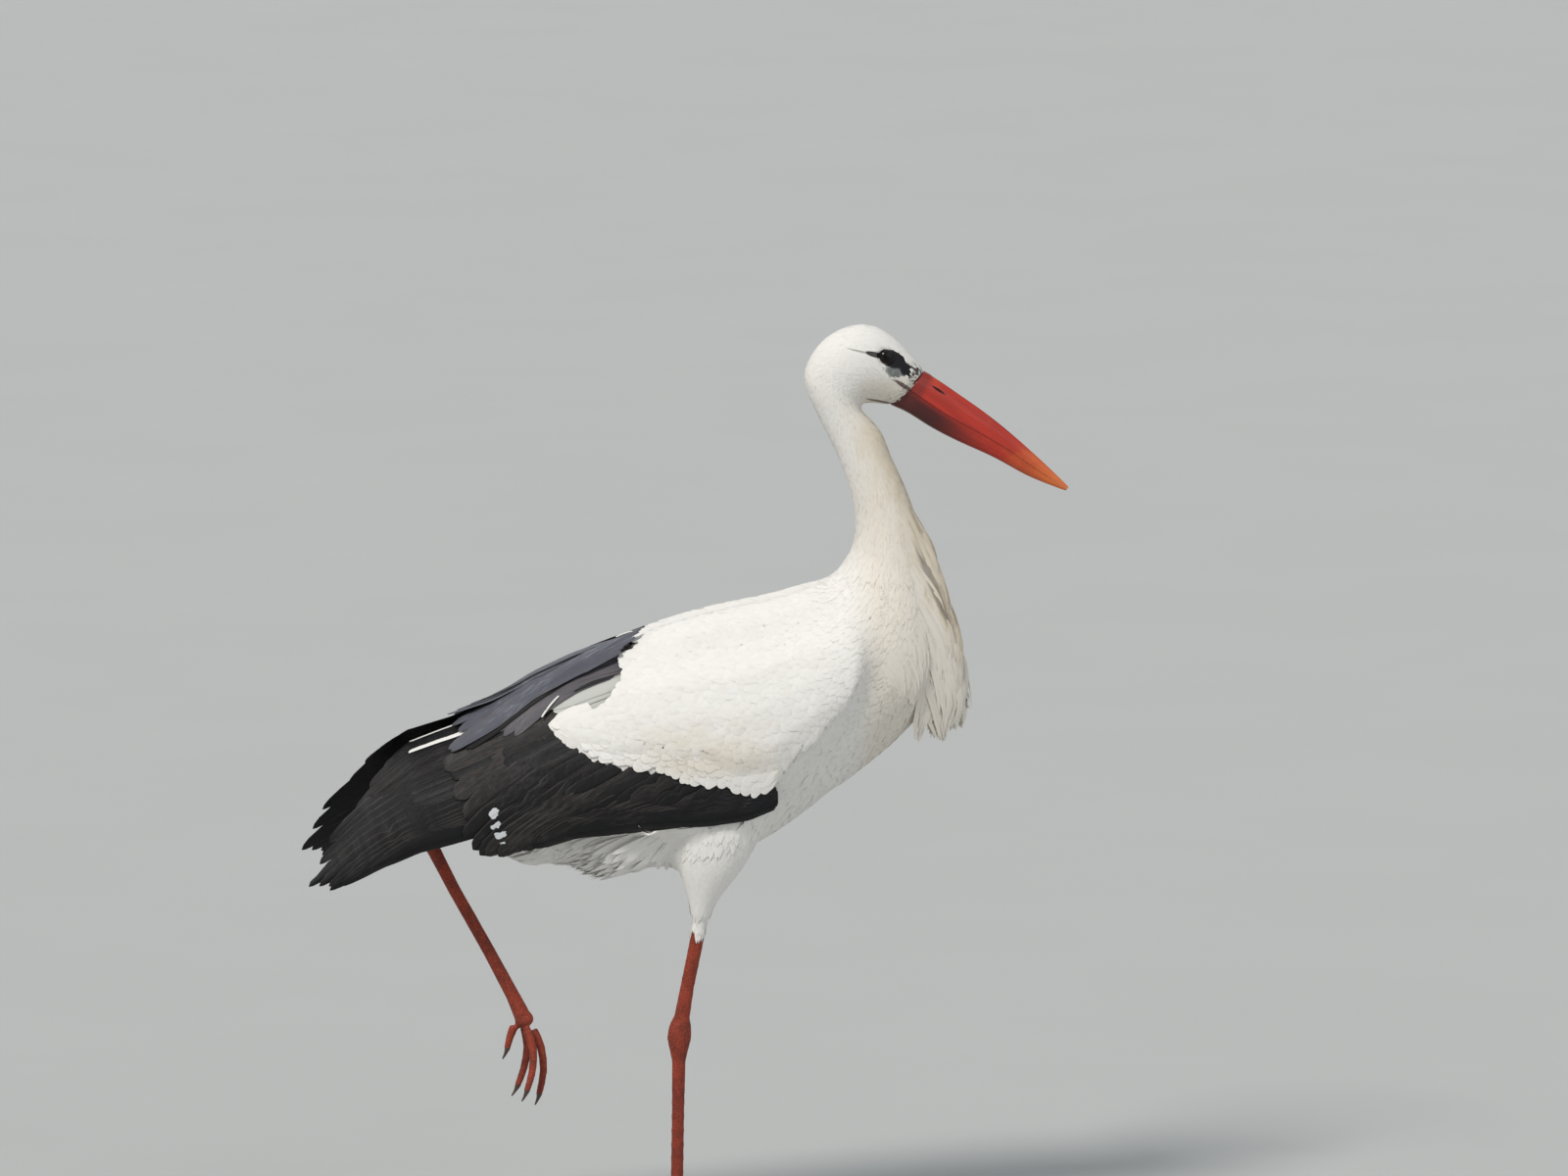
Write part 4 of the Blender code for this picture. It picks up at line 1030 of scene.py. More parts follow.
SECOND_ROOT = rounds((0.070, 0.480), (0.040, 0.493), (0.000, 0.508), (-0.050, 0.525), (-0.100, 0.550))
SECOND_BEND = rounds((0.014, 0.456), (-0.030, 0.461), (-0.080, 0.470), (-0.125, 0.486),
                     (-0.170, 0.528))
SECOND_TIP = rounds((-0.060, 0.4490), (-0.115, 0.4390), (-0.166, 0.4230), (-0.206, 0.4280),
                    (-0.230, 0.5000))
PRIMARY_ROOT = rounds((-0.110, 0.455), (-0.130, 0.475), (-0.140, 0.500), (-0.150, 0.530),
                      (-0.160, 25.0), (-0.165, 12.0))
PRIMARY_TIP = rounds((-0.262, 0.4290), (-0.292, 0.4100), (-0.318, 0.3960), (-0.340, 0.3860),
                     (-0.3530, 0.3900), (-0.3500, 0.4080), (-0.3330, 0.4360), (-0.3120, 0.4620),
                     (-0.2980, 30.0), (-0.2850, 16.0))
PRIMARY_STAGGER = (0.0, 0.04, -0.05, 0.015, -0.03, 0.05, -0.07, 0.01, -0.02)   # share of the length
PRIMARIES = 22
SECONDARIES = 20
BLACK_COVERTS = 16
FRONT_FEATHERS = 7
FRONT_ROOT = rounds((0.0860, 0.4640), (0.0900, 0.4700), (0.0870, 0.4760))
FRONT_BEND = rounds((0.0300, 0.4530), (0.0300, 0.4660), (0.0280, 0.4780))
FRONT_TIP = rounds((-0.0600, 0.4500), (-0.0500, 0.4650), (-0.0300, 0.4800))
COVER_ROOT = rounds((0.060, 0.490), (0.030, 0.505), (0.000, 0.516), (-0.050, 0.530), (-0.095, 0.556))
COVER_TIP = rounds((0.000, 0.466), (-0.035, 0.468), (-0.080, 0.470), (-0.130, 0.480), (-0.178, 0.512))

# the three groups on the shoulder, from the lowest up: roots and tips of the outer feathers, how
# many there are, half width and height over the wing in mm, how brown they are, how wide the root
# is as a share, how deep it is sunk in mm, and how far its middle is bowed up in metres
SHOULDER = (
    (rounds((-0.0500, 0.5950), (-0.0500, 0.6040)), rounds((-0.1640, 0.5310), (-0.2030, 0.5280)),
     5, 8.0, 3.8, 0.90, 0.80, 7.0, 0.009),
    (rounds((-0.0530, 0.6350), (-0.0500, 12.0), (-0.0470, 3.0)),
     rounds((-0.2160, 0.5540), (-0.2120, 22.0), (-0.1900, 6.0)), 9, 9.5, 5.8, 0.10, 0.60, 7.0, 0.002),
    (rounds((-0.0560, 0.6040), (-0.0330, 0.6230)), rounds((-0.1950, 0.5330), (-0.2250, 0.5120)),
     5, 8.5, 6.4, 0.30, 0.26, -3.0, 0.002),
)
LEFT_SUNK = 4.0          # on the left shoulder every root is at least this deep, in mm
# white feathers in the hollow between the brown group and the white coverts, from root to tip
HOLLOW_ROOT = rounds((-0.0520, 0.5880), (-0.0540, 0.5740))
HOLLOW_TIP = rounds((-0.1280, 0.5580), (-0.1180, 0.5460))
HOLLOW_TONE = 2.0        # a tone over 1 marks them as lying in the shade, which is painted on them
# black feathers that show as dark gaps below the two slate groups, partly the black feathers there
# and partly painted shadow under the groups' lower edges: root, tip, half width, height
UNDER_SHOULDER = (((-0.0600, 0.6050), (-0.2100, 0.5160), 3.4, 5.4),
                  ((-0.0620, 0.5900), (-0.1950, 0.5230), 2.4, 3.2))
# narrow white feathers on the right wing: root, tip, half width, height over the wing
STRIPES = (((-0.1930, 0.5370), (-0.2630, 0.5105), 3.2, 4.0),
           ((-0.1930, 0.5455), (-0.2600, 0.5195), 2.6, 4.0),
           ((-0.1195, 0.5660), (-0.1370, 0.5470), 0.9, 6.6),
           ((-0.0440, 0.6190), (-0.0600, 0.6130), 1.3, 10.0))


def bowed(root, tip, bow):
    """A point halfway from root to tip, pushed up by bow."""
    middle = (np.array(root) + np.array(tip)) / 2
    return middle - (0.0, bow / 0.08)


def black_wing(word, side, skin, finish):
    rng = np.random.default_rng(40 + side)
    coat = Coat("flight_feathers_" + word)
    for i, s in numbered(PRIMARIES):
        root, tip = smooth_row(PRIMARY_ROOT, s), smooth_row(PRIMARY_TIP, s)
        tip = tip + (tip - root) * PRIMARY_STAGGER[i % len(PRIMARY_STAGGER)]
        wing_feather(coat, side, rng, root, bowed(root, tip, 0.003), tip, half=9.0,
                     off=(0.6 + 0.12 * i, 0.8 + 0.13 * i), tone=0.75 * rng.random() ** 2,
                     stations=26, point=0.34, roll=0.09)
    for i, s in numbered(SECONDARIES):
        root = smooth_row(SECOND_ROOT, s)
        tip = strayed(smooth_row(SECOND_TIP, s), rng, 0.008, 0.03)
        wing_feather(coat, side, rng, root, smooth_row(SECOND_BEND, s), tip, half=12.0,
                     off=(-1.2 + 0.10 * i, 2.6 + 0.10 * i), tone=0.2 + 0.75 * rng.random() ** 1.5,
                     stations=18, point=0.16, roll=0.09)
    for i, s in numbered(BLACK_COVERTS):
        root = smooth_row(COVER_ROOT, s)
        tip = strayed(smooth_row(COVER_TIP, s), rng, 0.014, 0.06)
        wing_feather(coat, side, rng, root, bowed(root, tip, -0.003), tip, half=9.0,
                     off=(-1.0, 4.2 + 0.05 * i), tone=0.2 + 0.7 * rng.random() ** 1.5,
                     stations=14, point=0.22, roll=0.10)
    for i, s in numbered(FRONT_FEATHERS):
        wing_feather(coat, side, rng, smooth_row(FRONT_ROOT, s), smooth_row(FRONT_BEND, s),
                     smooth_row(FRONT_TIP, s), half=9.0, off=(0.4 + 0.12 * i, 3.0 + 0.12 * i),
                     tone=0.05, stations=22, point=0.20, waist=0.75, roll=0.02)
    # black feathers under the shoulder groups, partly standing in as painted shadow
    for start, end, half, off in UNDER_SHOULDER:
        for i in range(2):
            root, tip = rounds(start, end)
            root, tip = root - (0.004 * i, 0.0), tip + (0.004 * i, 0.020 * i)
            wing_feather(coat, side, rng, root, bowed(root, tip, 0.002), tip, half=half,
                         off=(off, off + 0.8), tone=0.1 + 0.2 * i, stations=20, point=0.25,
                         waist=0.1, roll=0.04)
    coat.make(finish, skin, "black_plumage", ("secondaries_" + word, "primaries_" + word))


# rows of coverts along the white edge, from the lowest up: how far above the edge the tips lie in
# metres, half width and height over the wing in mm
EDGE_ROWS = ((0.0000, 7.8, 6.4), (0.0040, 8.2, 6.8), (0.0095, 8.0, 7.5), (0.0160, 7.6, 8.3),
             (0.0230, 7.6, 9.0), (0.0300, 7.6, 9.6))
EDGE_FLAT = 0.75         # how much of the upper rows' extra height is gone at the front end
EDGE_FROM = 0.0770
EDGE_TO = -0.1300
EDGE_STEP = 0.0076
EDGE_LONG = 0.036


def white_edge(word, side, skin, finish):
    """Rows of rounded white coverts whose tips lie over the black feathers."""
    rng = np.random.default_rng(50 + side)
    coat = Coat("edge_coverts_" + word)
    for rank in range(len(EDGE_ROWS) - 1, -1, -1):
        raised, half, off = EDGE_ROWS[rank]
        start = EDGE_TO + 1.6 * raised + EDGE_STEP / 2 * (rank % 2)
        for x in np.arange(start, EDGE_FROM, EDGE_STEP):
            x = x + (rng.random() - 0.5) * 0.008
            z = np.interp(x, WHITE_LOW[:, 0], WHITE_LOW[:, 1]) + raised
            z += (rng.random() - 0.4) * 0.0060
            way = wing_way(np.array([[x, 0.0, z]]))[0]
            length = EDGE_LONG * (0.9 + 0.2 * rng.random())
            root = (x - way[0] * length, z - way[2] * length)
            low = np.interp(x, (0.010, 0.070), (0.0, EDGE_FLAT))
            high = off + (EDGE_ROWS[0][2] - off) * low - 2.0 * low
            root, tip = rounds(root, (x, z))
            wing_feather(coat, side, rng, root, (root + tip) / 2, tip,
                         half=half * (0.70 + 0.55 * rng.random()), off=(high - 5.0, high),
                         tone=rng.random(), stations=12, point=0.34, waist=0.8, roll=0.02, lean=0.0,
                         thick=0.20, round_off=0.10)
    for s in np.linspace(0.0, 1.0, 4):
        root, tip = smooth_row(HOLLOW_ROOT, s), smooth_row(HOLLOW_TIP, s)
        wing_feather(coat, side, rng, root, (root + tip) / 2, tip, half=8.5, off=(0.5, 2.4 + s),
                     tone=HOLLOW_TONE, stations=14, point=0.34, waist=0.9, lean=0.0, thick=0.2)
    coat.make(finish, skin, "white_plumage")


def shoulder(word, side, skin, finish):
    rng = np.random.default_rng(60 + side)
    coat = Coat("shoulder_feathers_" + word)
    for roots, tips, count, half, off, brown, waist, sunk, bow in SHOULDER:
        sunk = sunk if side < 0 else max(sunk, LEFT_SUNK)
        for i, s in numbered(count):
            rise = off + 0.14 * i
            tip = strayed(smooth_row(tips, s), rng, 0.016, 0.04)
            root = strayed(smooth_row(roots, s), rng, 0.012, 0.02)
            wing_feather(coat, side, rng, root, bowed(root, tip, bow), tip, half=half,
                         off=(rise - sunk, rise + 1.2), tone=min(brown + 0.25 * rng.random(), 1.0),
                         stations=24, point=0.34, waist=waist, roll=0.10, thick=0.7)
    coat.make(finish, skin, "dark_plumage", ("scapulars_" + word,))


def stripes(skin, finish):
    """Narrow white feathers on the right wing's upper side, between the dark ones."""
    rng = np.random.default_rng(66)
    coat = Coat("stripe_feathers")
    for start, end, half, off in STRIPES:
        root, tip = rounds(start, end)
        wing_feather(coat, RIGHT, rng, root, bowed(root, tip, 0.001), tip, half=half,
                     off=(off, off + 0.4), tone=0.2, stations=16, point=0.08, waist=0.9)
    coat.make(finish, skin, "white_plumage")


# ---- the hanging breast feathers, tail, bill, eyes and claws -------------------------------------
def cast(tree, height, across, fallback):
    """How far forward a form reaches at this height and distance from the middle."""
    hit = tree.ray_cast(Vector((1.0, across, height)), Vector((-1.0, 0.0, 0.0)))
    return hit[0].x if hit[0] is not None else fallback


PLUME_FLARE = 0.040      # how far below its root a plume has come away from the body
PLUME_SPACING = (0.58, 0.78), (0.0032, 0.0029)                   # by height
PLUME_LONG = (0.58, 0.64, 0.78), (0.055, 0.115, 0.070)           # by height
PLUME_SHAPE = (0.0, 0.3, 0.70, 0.88, 1.0), (0.5, 1.0, 0.95, 0.60, 0.04)
PLUME_STEPS = 9
PLUME_SINKS = 0.0016     # how fast the line that plumes lie on may fall back below an overhang
LEAST_FALL = 0.020
# the tips that the plumes run together to on the right side: X, Y, Z; those on the left are like them
TUFTS = ((0.1860, -0.0640, 0.5930), (0.1990, -0.0590, 0.5760), (0.2120, -0.0520, 0.5620),
         (0.2240, -0.0440, 0.5540), (0.2320, -0.0310, 0.5150), (0.2450, -0.0240, 0.5330),
         (0.2590, -0.0200, 0.5130), (0.2700, -0.0120, 0.5220), (0.2800, -0.0050, 0.5270),
         (0.2870, -0.0005, 0.5420))


def breast_plumes(skin, body, finish):
    """Long pointed feathers that hang from the throat over the breast and run together in tufts."""
    rng = np.random.default_rng(5)
    plumes = throwaway(merged, "plume_form", FEATHERED[:5] + ["breast_plumes"]).tree
    coat = Coat("breast_plume_feathers")
    tufts = np.array(TUFTS)
    tufts = np.concatenate([tufts, tufts * (1.0, -1.0, 1.0) + rng.normal(size=tufts.shape) * 0.003])

    roots = scatter(body, lambda s: np.interp(s[:, 2], *PLUME_SPACING),
                    lambda s, ups: in_box(s, PLUME_ROOTS) & (ups[:, 0] > -0.05), 31)
    t = np.linspace(0.0, 1.0, PLUME_STEPS)
    spines, ups, halves = [], [], []
    for x, y, z in roots.tolist():
        angle = abs(tufts[:, 1] - y * 0.9) + 0.5 * abs(tufts[:, 0] - x - 0.02)
        ends = tufts[np.argsort(angle + 0.010 * rng.random(len(tufts)))[0]]
        fall = z - ends[2]
        if fall < LEAST_FALL:
            continue
        length = np.interp(z, *PLUME_LONG) * (0.70 + 0.5 * rng.random())
        if length > fall * 0.80:
            length = fall * (1.0 - 0.10 * rng.random())
        out = rng.random() ** 0.45
        spread = rng.normal(size=2) * 0.0022
        deep = x
        line, rise = [], []
        for share in t:
            height = z - length * share
            done = (z - height) / fall
            side = y + (ends[1] + spread[0] - y) * done ** 1.2
            under = cast(body.tree, height, side, -1.0)
            deep = max(deep - PLUME_SINKS, under) if under > 0.10 else deep - PLUME_SINKS
            ahead = max(cast(plumes, height, side, 0.0), deep + 0.002)
            loose = out * min((z - height) / PLUME_FLARE, 1.0)
            hang = deep + (ahead - deep) * loose
            pull = done ** 3
            line.append((hang + (ends[0] + spread[1] - hang) * pull - 0.0032 * (1 - share) ** 2
                         + 0.0006, side, height))
            turn = 0.75 - 0.55 * min(loose * 1.5, 1.0)
            hit = body.tree.find_nearest(line[-1])
            facing = Vector((0.55, y * 55.0, 0.12)).normalized()
            rise.append(tuple((facing * (1 - turn) + hit[1] * turn).normalized()))
        spines.append(line)
        ups.append(rise)
        halves.append(np.interp(t, *PLUME_SHAPE) * MM * (2.4 + 2.6 * rng.random()))
    spines, ups, halves = np.array(spines), np.array(ups), np.array(halves)
    for _ in range(2):
        spines[:, 1:-1] = (spines[:, :-2] + 2 * spines[:, 1:-1] + spines[:, 2:]) / 4
    roll = (rng.random((len(spines), 1)) - 0.5) * 0.16
    coat.add(spines, ups, halves, halves, THREE, 0.20 * MM, rng, roll=roll, round_off=0.12)
    coat.make(finish, skin, "cream_plumes", ("breast_plumes",))


TAIL_LINE = ((-0.150, 0.5020), (-0.185, 0.4990), (-0.215, 0.4930), (-0.240, 0.4840), (-0.264, 0.4720))
TAIL_PAIRS = 6
TAIL_HALF = 0.0100       # half width of a tail feather
TAIL_STEP = 0.0007       # how far each pair lies under the one before it


def tail_fan(skin, finish):
    """Twelve broad tail feathers, the middle pair on top."""
    rng = np.random.default_rng(6)
    coat = Coat("tail_feathers")
    stations = 18
    for rank in range(TAIL_PAIRS - 1, -1, -1):
        for _, side in SIDES:
            place = side * (rank + 0.5)
            t, wide = blade_outline(stations, 0.10, 0.5)
            line = np.array([smooth_row(TAIL_LINE, share) for share in t])
            y = place * (0.0012 + 0.0036 * t)
            z = line[:, 1] - TAIL_STEP * rank - 0.00022 * place ** 2 * t
            x = line[:, 0] + 0.0022 * rank * t
            spine = np.stack([x, y, z], -1)
            up = unit(np.stack([np.full(stations, 0.25), place * 0.05 * t, np.ones(stations)], -1))
            half = TAIL_HALF * wide
            coat.add(spine[None], up[None], half[None] * ragged(rng, stations, 0.02),
                     half[None] * ragged(rng, stations, 0.02), SHAFTED, 0.5 * MM, rng,
                     camber=6.0, roll=-0.06 * side, tone=[rng.random() * 0.4])
    coat.make(finish, skin, "white_plumage")


BILL_ROOT = Vector((0.2350, 0.0, 0.8600))
BILL_TIP = Vector((0.3865, 0.0, 0.7565))
NOSTRIL = (0.2570, 0.0104, 0.8580)
NOSTRIL_LONG = 0.0078
NOSTRIL_DEEP = 0.0022
NOSTRIL_HIGH = 0.0009
NOSTRIL_TILT = 34.0
NOSTRIL_DARK = (NOSTRIL[0], NOSTRIL[2], NOSTRIL_LONG * 1.05, 0.0013, -NOSTRIL_TILT)
BILL_SLOPE = 34.4        # degrees that the bill points down
BILL_GRAIN = (14.0, 260.0, 260.0)


def bill_finish():
    """Red horn with fine lengthwise lines, orange at the tip and dark under the chin."""
    paint = Paint("bill_horn", 0.36)
    spot, x, _, z = paint.place()
    run = (BILL_TIP - BILL_ROOT).normalized()
    along = (x - BILL_ROOT.x) * run.x + (z - BILL_ROOT.z) * run.z
    over = (z - BILL_ROOT.z) * run.x - (x - BILL_ROOT.x) * run.z
    turned = paint.stretch(spot, (1.0, 1.0, 1.0), (0.0, -radians(BILL_SLOPE), 0.0))
    lines = paint.noise(paint.stretch(turned, BILL_GRAIN), 1.0, 4.0, 0.6)
    broad = paint.noise(spot, 45.0, 3.0)
    red = paint.blend(paint.ease(lines, 0.30, 0.72), BILL_RED, BILL_DEEP)
    red = paint.blend(paint.ease(broad, 0.50, 0.75) * 0.45, red, BILL_WARM)
    tip = paint.ease(along + (broad - 0.5) * 0.03, 0.105, 0.172)
    colour = paint.blend(tip, red, BILL_ORANGE)
    dark = paint.ease(along + (lines - 0.5) * 0.03, 0.104, 0.026)
    dark = dark * paint.ease(over, -0.0015, -0.0110)
    colour = paint.blend(dark * 0.92, colour, BILL_DARK)
    colour = paint.blend(paint.ease(along, 0.012, 0.004) * 0.55, colour, BILL_FOOT)
    # painted shade in and round the nostril slit
    slit = paint.mark(x, z, NOSTRIL_DARK, 0.3)
    paint.feed("Base Color", paint.blend(slit * 0.9, colour, BILL_HOLE))
    paint.feed("Roughness", paint.ease(lines, 0.2, 0.8, 0.28, 0.50))
    paint.bump(lines, 0.25, 0.0004)
    return paint.made


def smooth_copy(name, node, levels, crease_over):
    """A rounder copy of a solid: its triangles paired into quads, its edges kept, subdivided."""
    thing = merged(name, [node])
    open_up(thing)
    bpy.ops.mesh.tris_convert_to_quads(face_threshold=radians(60), shape_threshold=radians(60))
    bpy.ops.mesh.select_all(action="DESELECT")
    bpy.ops.mesh.edges_select_sharp(sharpness=radians(crease_over))
    bpy.ops.transform.edge_crease(value=1.0)
    close_up()
    apply_modifier(thing, "SUBSURF", levels=levels, render_levels=levels)
    take_up(thing)
    bpy.ops.object.shade_smooth_by_angle(angle=radians(40))
    return thing


def make_bill():
    finish = bill_finish()
    for half in ("upper", "lower"):
        thing = smooth_copy("bill_shape_" + half, "bill_" + half, levels=3, crease_over=48.0)
        if half == "upper":
            for _, side in SIDES:
                nothing_selected()
                bpy.ops.mesh.primitive_uv_sphere_add(segments=24, ring_count=12, radius=1.0)
                cutter = bpy.context.object
                cutter.scale = (NOSTRIL_LONG, NOSTRIL_DEEP, NOSTRIL_HIGH)
                cutter.rotation_euler = (0.0, radians(NOSTRIL_TILT), 0.0)
                cutter.location = (NOSTRIL[0], NOSTRIL[1] * side, NOSTRIL[2])
                bpy.ops.object.transform_apply(location=True, rotation=True, scale=True)
                apply_modifier(thing, "BOOLEAN", operation="DIFFERENCE", solver="EXACT",
                               object=cutter)
                bpy.data.objects.remove(cutter)
            take_up(thing)
            bpy.ops.object.shade_smooth_by_angle(angle=radians(40))
        settle(thing, finish, "bill_horn", "bill_" + half)


def eye_finish():
    paint = Paint("eye", 0.04, Specular_IOR_Level=0.05, Coat_Weight=0.35, Coat_Roughness=0.02)
    spot, x, _, z = paint.place()
    dx, dz = x - EYE_AT.x, z - EYE_AT.z
    ring = (dx * dx + dz * dz) ** 0.5
    rays = paint.noise(paint.stretch(spot, (1.0, 0.1, 1.0)), 900.0, 2.0)
    colour = paint.blend(paint.ease(rays, 0.3, 0.7), *IRIS)
    colour = paint.blend(paint.ease(ring, 0.0034, 0.0030), colour, PUPIL)
    paint.feed("Base Color", paint.blend(paint.ease(ring, 0.0052, 0.0060), colour, EYE_RIM))
    return paint.made


def make_eyes():
    finish = eye_finish()
    for word, side in SIDES:
        nothing_selected()
        bpy.ops.mesh.primitive_uv_sphere_add(segments=64, ring_count=32, radius=EYE_RADIUS)
        ball = bpy.context.object
        ball.name = "eyeball_" + word
        ball.rotation_euler = (radians(90.0), 0.0, 0.0)
        bpy.ops.object.transform_apply(location=False, rotation=True, scale=False)
        ball.scale = (1.0, EYE_FLAT, 1.0)
        ball.location = (EYE_AT.x, EYE_AT.y * side, EYE_AT.z)
        bpy.ops.object.transform_apply(location=True, rotation=True, scale=True)
        bpy.ops.object.shade_smooth()
        settle(ball, finish, "eye_dark", "eye_" + word)


NAIL_LONGER = 1.14       # the claws reach this much further back, into their toes


def make_claws():
    paint = Paint("claw", 0.38)
    grain = paint.noise(paint.place()[0], 400.0, 3.0)
    paint.feed("Base Color", paint.blend(grain, *CLAW))
    for word, _ in SIDES:
        for toe in TOE_NAMES:
            node = "claw_" + toe + "_" + word
            thing = smooth_copy("nail_" + toe + "_" + word, node, levels=2, crease_over=70.0)
            places = read(thing.data.vertices, "co")
            toe_middle = np.array(sum(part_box("toe_" + toe + "_" + word), Vector()) / 2)
            tip = places[np.argmax(np.linalg.norm(places - toe_middle, axis=1))]
            write_places(thing, tip + (places - tip) * NAIL_LONGER)
            settle(thing, paint.made, "claw_horn", node)


# ---- studio --------------------------------------------------------------------------------------
FLOOR_WIDE = 30.0
FLOOR_LOW = -0.0003      # the floor lies a hair below the soles
FLOOR_TONES = (0.44, 0.45, 0.44), (0.47, 0.48, 0.47)
LOOK_AZIMUTH = -8.0
LOOK_DOWN = 9.0
LOOK_FAR = 12.0
LOOK_ACROSS = 1.536      # metres seen from side to side at the bird
LOOK_AT = (0.1190, 0.0875, 0.6514)
SENSOR = 36.0
SEEN_TO = 100.0
# the lamps: name, where each stands, how wide its light is in degrees, its strength and colour
LAMPS = (("key", (-0.50, -0.58, 0.85), 14.0, 2.3, (1.0, 0.975, 0.93)),
         ("fill", (0.75, -0.80, 0.45), 60.0, 0.45, (0.93, 0.96, 1.0)),
         ("rim", (-0.30, 0.85, 0.60), 40.0, 0.45, (1.0, 1.0, 1.0)))
LAMPS_FAR = 4.0
SKY = (0.86, 0.90, 0.96, 1.0)
SKY_STRENGTH = 0.42


def stood(name, data, place, back):
    """A camera or a lamp at a place, with its back turned to a direction."""
    thing = bpy.data.objects.new(name, data)
    thing.location = place
    thing.rotation_mode = "QUATERNION"
    thing.rotation_quaternion = (-back).to_track_quat("-Z", "Y")
    bpy.context.scene.collection.objects.link(thing)
    return thing


def studio():
    nothing_selected()
    bpy.ops.mesh.primitive_plane_add(size=FLOOR_WIDE, location=(0.0, 0.0, FLOOR_LOW))
    floor = bpy.context.object
    floor.name = "floor"
    paint = Paint("floor", 0.9)
    grain = paint.noise(paint.add("ShaderNodeTexCoord", out="Object"), 3.0, 3.0)
    paint.feed("Base Color", paint.blend(grain, *FLOOR_TONES))
    floor.data.materials.append(paint.made)
    a, e = radians(LOOK_AZIMUTH), radians(LOOK_DOWN)
    back = Vector((sin(a) * cos(e), -cos(a) * cos(e), sin(e)))
    camera = bpy.data.cameras.new("camera")
    camera.sensor_width = SENSOR
    camera.lens = SENSOR * LOOK_FAR / LOOK_ACROSS
    camera.clip_end = SEEN_TO
    bpy.context.scene.camera = stood("camera", camera, Vector(LOOK_AT) + back * LOOK_FAR, back)
    for name, place, softness, power, colour in LAMPS:
        lamp = bpy.data.lights.new(name, "SUN")
        lamp.angle = radians(softness)
        lamp.energy = power
        lamp.color = colour
        stood(name, lamp, Vector(place) * LAMPS_FAR, Vector(place))
    world = bpy.data.worlds.new("studio")
    world.use_nodes = True
    sky = world.node_tree.nodes["Background"].inputs
    sky["Color"].default_value = SKY
    sky["Strength"].default_value = SKY_STRENGTH
    bpy.context.scene.world = world
    bpy.context.scene.view_settings.view_transform = "Standard"


# ---- the white coat's lie and limits -------------------------------------------------------------
# the way the wing coverts point at a few places in the side view: X, Z, then the way along X and Z
WING_LIE = ((0.160, 0.600, -0.50, -0.86), (0.090, 0.500, -0.38, -0.92), (0.000, 0.505, -0.62, -0.78),
            (-0.100, 0.535, -0.88, -0.47), (0.110, 0.600, -0.80, -0.60), (0.000, 0.580, -0.90, -0.44),
            (0.100, 0.645, -0.97, -0.22), (0.000, 0.625, -0.97, -0.24), (-0.060, 0.600, -0.93, -0.36))
WING_SOFT = 0.0002       # how gently one direction turns into the next, in square metres


def wing_way(spots):
    """The way the wing coverts point, from the nearest of a few set directions."""
    rows = np.array(WING_LIE)
    far = np.hypot(spots[:, 0:1] - rows[None, :, 0], spots[:, 2:3] - rows[None, :, 1])
    weight = 1.0 / (far ** 2 + WING_SOFT) ** 1.5
    flat = weight @ rows[:, 2:] / weight.sum(1, keepdims=True)
    return unit(np.stack([flat[:, 0], np.zeros(len(spots)), flat[:, 1]], -1))


def throwaway(maker, *args, **settings):
    """The form of a helper object, which is then removed."""
    thing = maker(*args, **settings)
    form = Form(thing)
    bpy.data.objects.remove(thing)
    return form


def dark(spots):
    """Which places belong to the dark feathers of the wings."""
    x, y, z = spots.T
    below = z < np.interp(x, WHITE_LOW[:, 0], WHITE_LOW[:, 1], left=1.0)
    above = z > np.interp(x, BLACK_LOW[:, 0], BLACK_LOW[:, 1])
    outside = (abs(y) > 0.035) | ((x < -0.120) & (z > 0.500)) | (x < -0.190)
    behind = (z >= WHITE_BACK[0, 1]) & (x < np.interp(z, WHITE_BACK[:, 1], WHITE_BACK[:, 0]))
    return (below & above & outside & (x < 0.0835)) | behind


def white_lie(spots):
    """The lie of the whole white coat: the body's own, turning into the wings' on them."""
    ways, values = lie_at(spots)
    x, z = spots[:, 0], spots[:, 2]
    share = np.clip(1.15 - white_solids.gap(spots) / 0.028, 0.0, 1.0)
    share = eased((share * np.clip((0.200 - x) / 0.060, 0.0, 1.0))[:, None])
    low = np.clip((0.620 - z) / 0.110, 0.0, 1.0)
    on_wing = np.stack([6.8 + 1.4 * low, 26.0 + 8.0 * low, 4.4 + 1.6 * low,
                        np.full(len(x), 2.6)], -1)
    return unit(ways * (1 - share) + wing_way(spots) * share), values * (1 - share) + on_wing * share


def spaced(spots):
    values = white_lie(spots)[1]
    return values[:, 0] * MM * np.where(spots[:, 2] > NECK_TOP, DENSE_HEAD, DENSE)


OVERHEAD = 0.05          # how far over a place something still counts as covering it


def covered(form, spots, ups, start):
    """Which places have a form over them, as seen from a little above each."""
    return np.array([form.tree.ray_cast(Vector(p), Vector(n), OVERHEAD)[0] is not None
                     for p, n in zip((spots + ups * start).tolist(), ups.tolist())], bool)


def open_to_view(spots, ups):
    """Which places aren't shut in between a wing and the body."""
    return ~covered(mantle, spots, ups, 0.002)


def under_wing(spots, ups):
    """Which places have a wing over them."""
    return covered(panels, spots, ups, 0.0005)


def white_area(spots, ups):
    naked = Skin.bare(spots) > 0.40 + 0.35 * pick.random(len(spots))
    return ~dark(spots) & ~naked & (open_to_view(spots, ups) | (spots[:, 2] > NECK_FOOT))


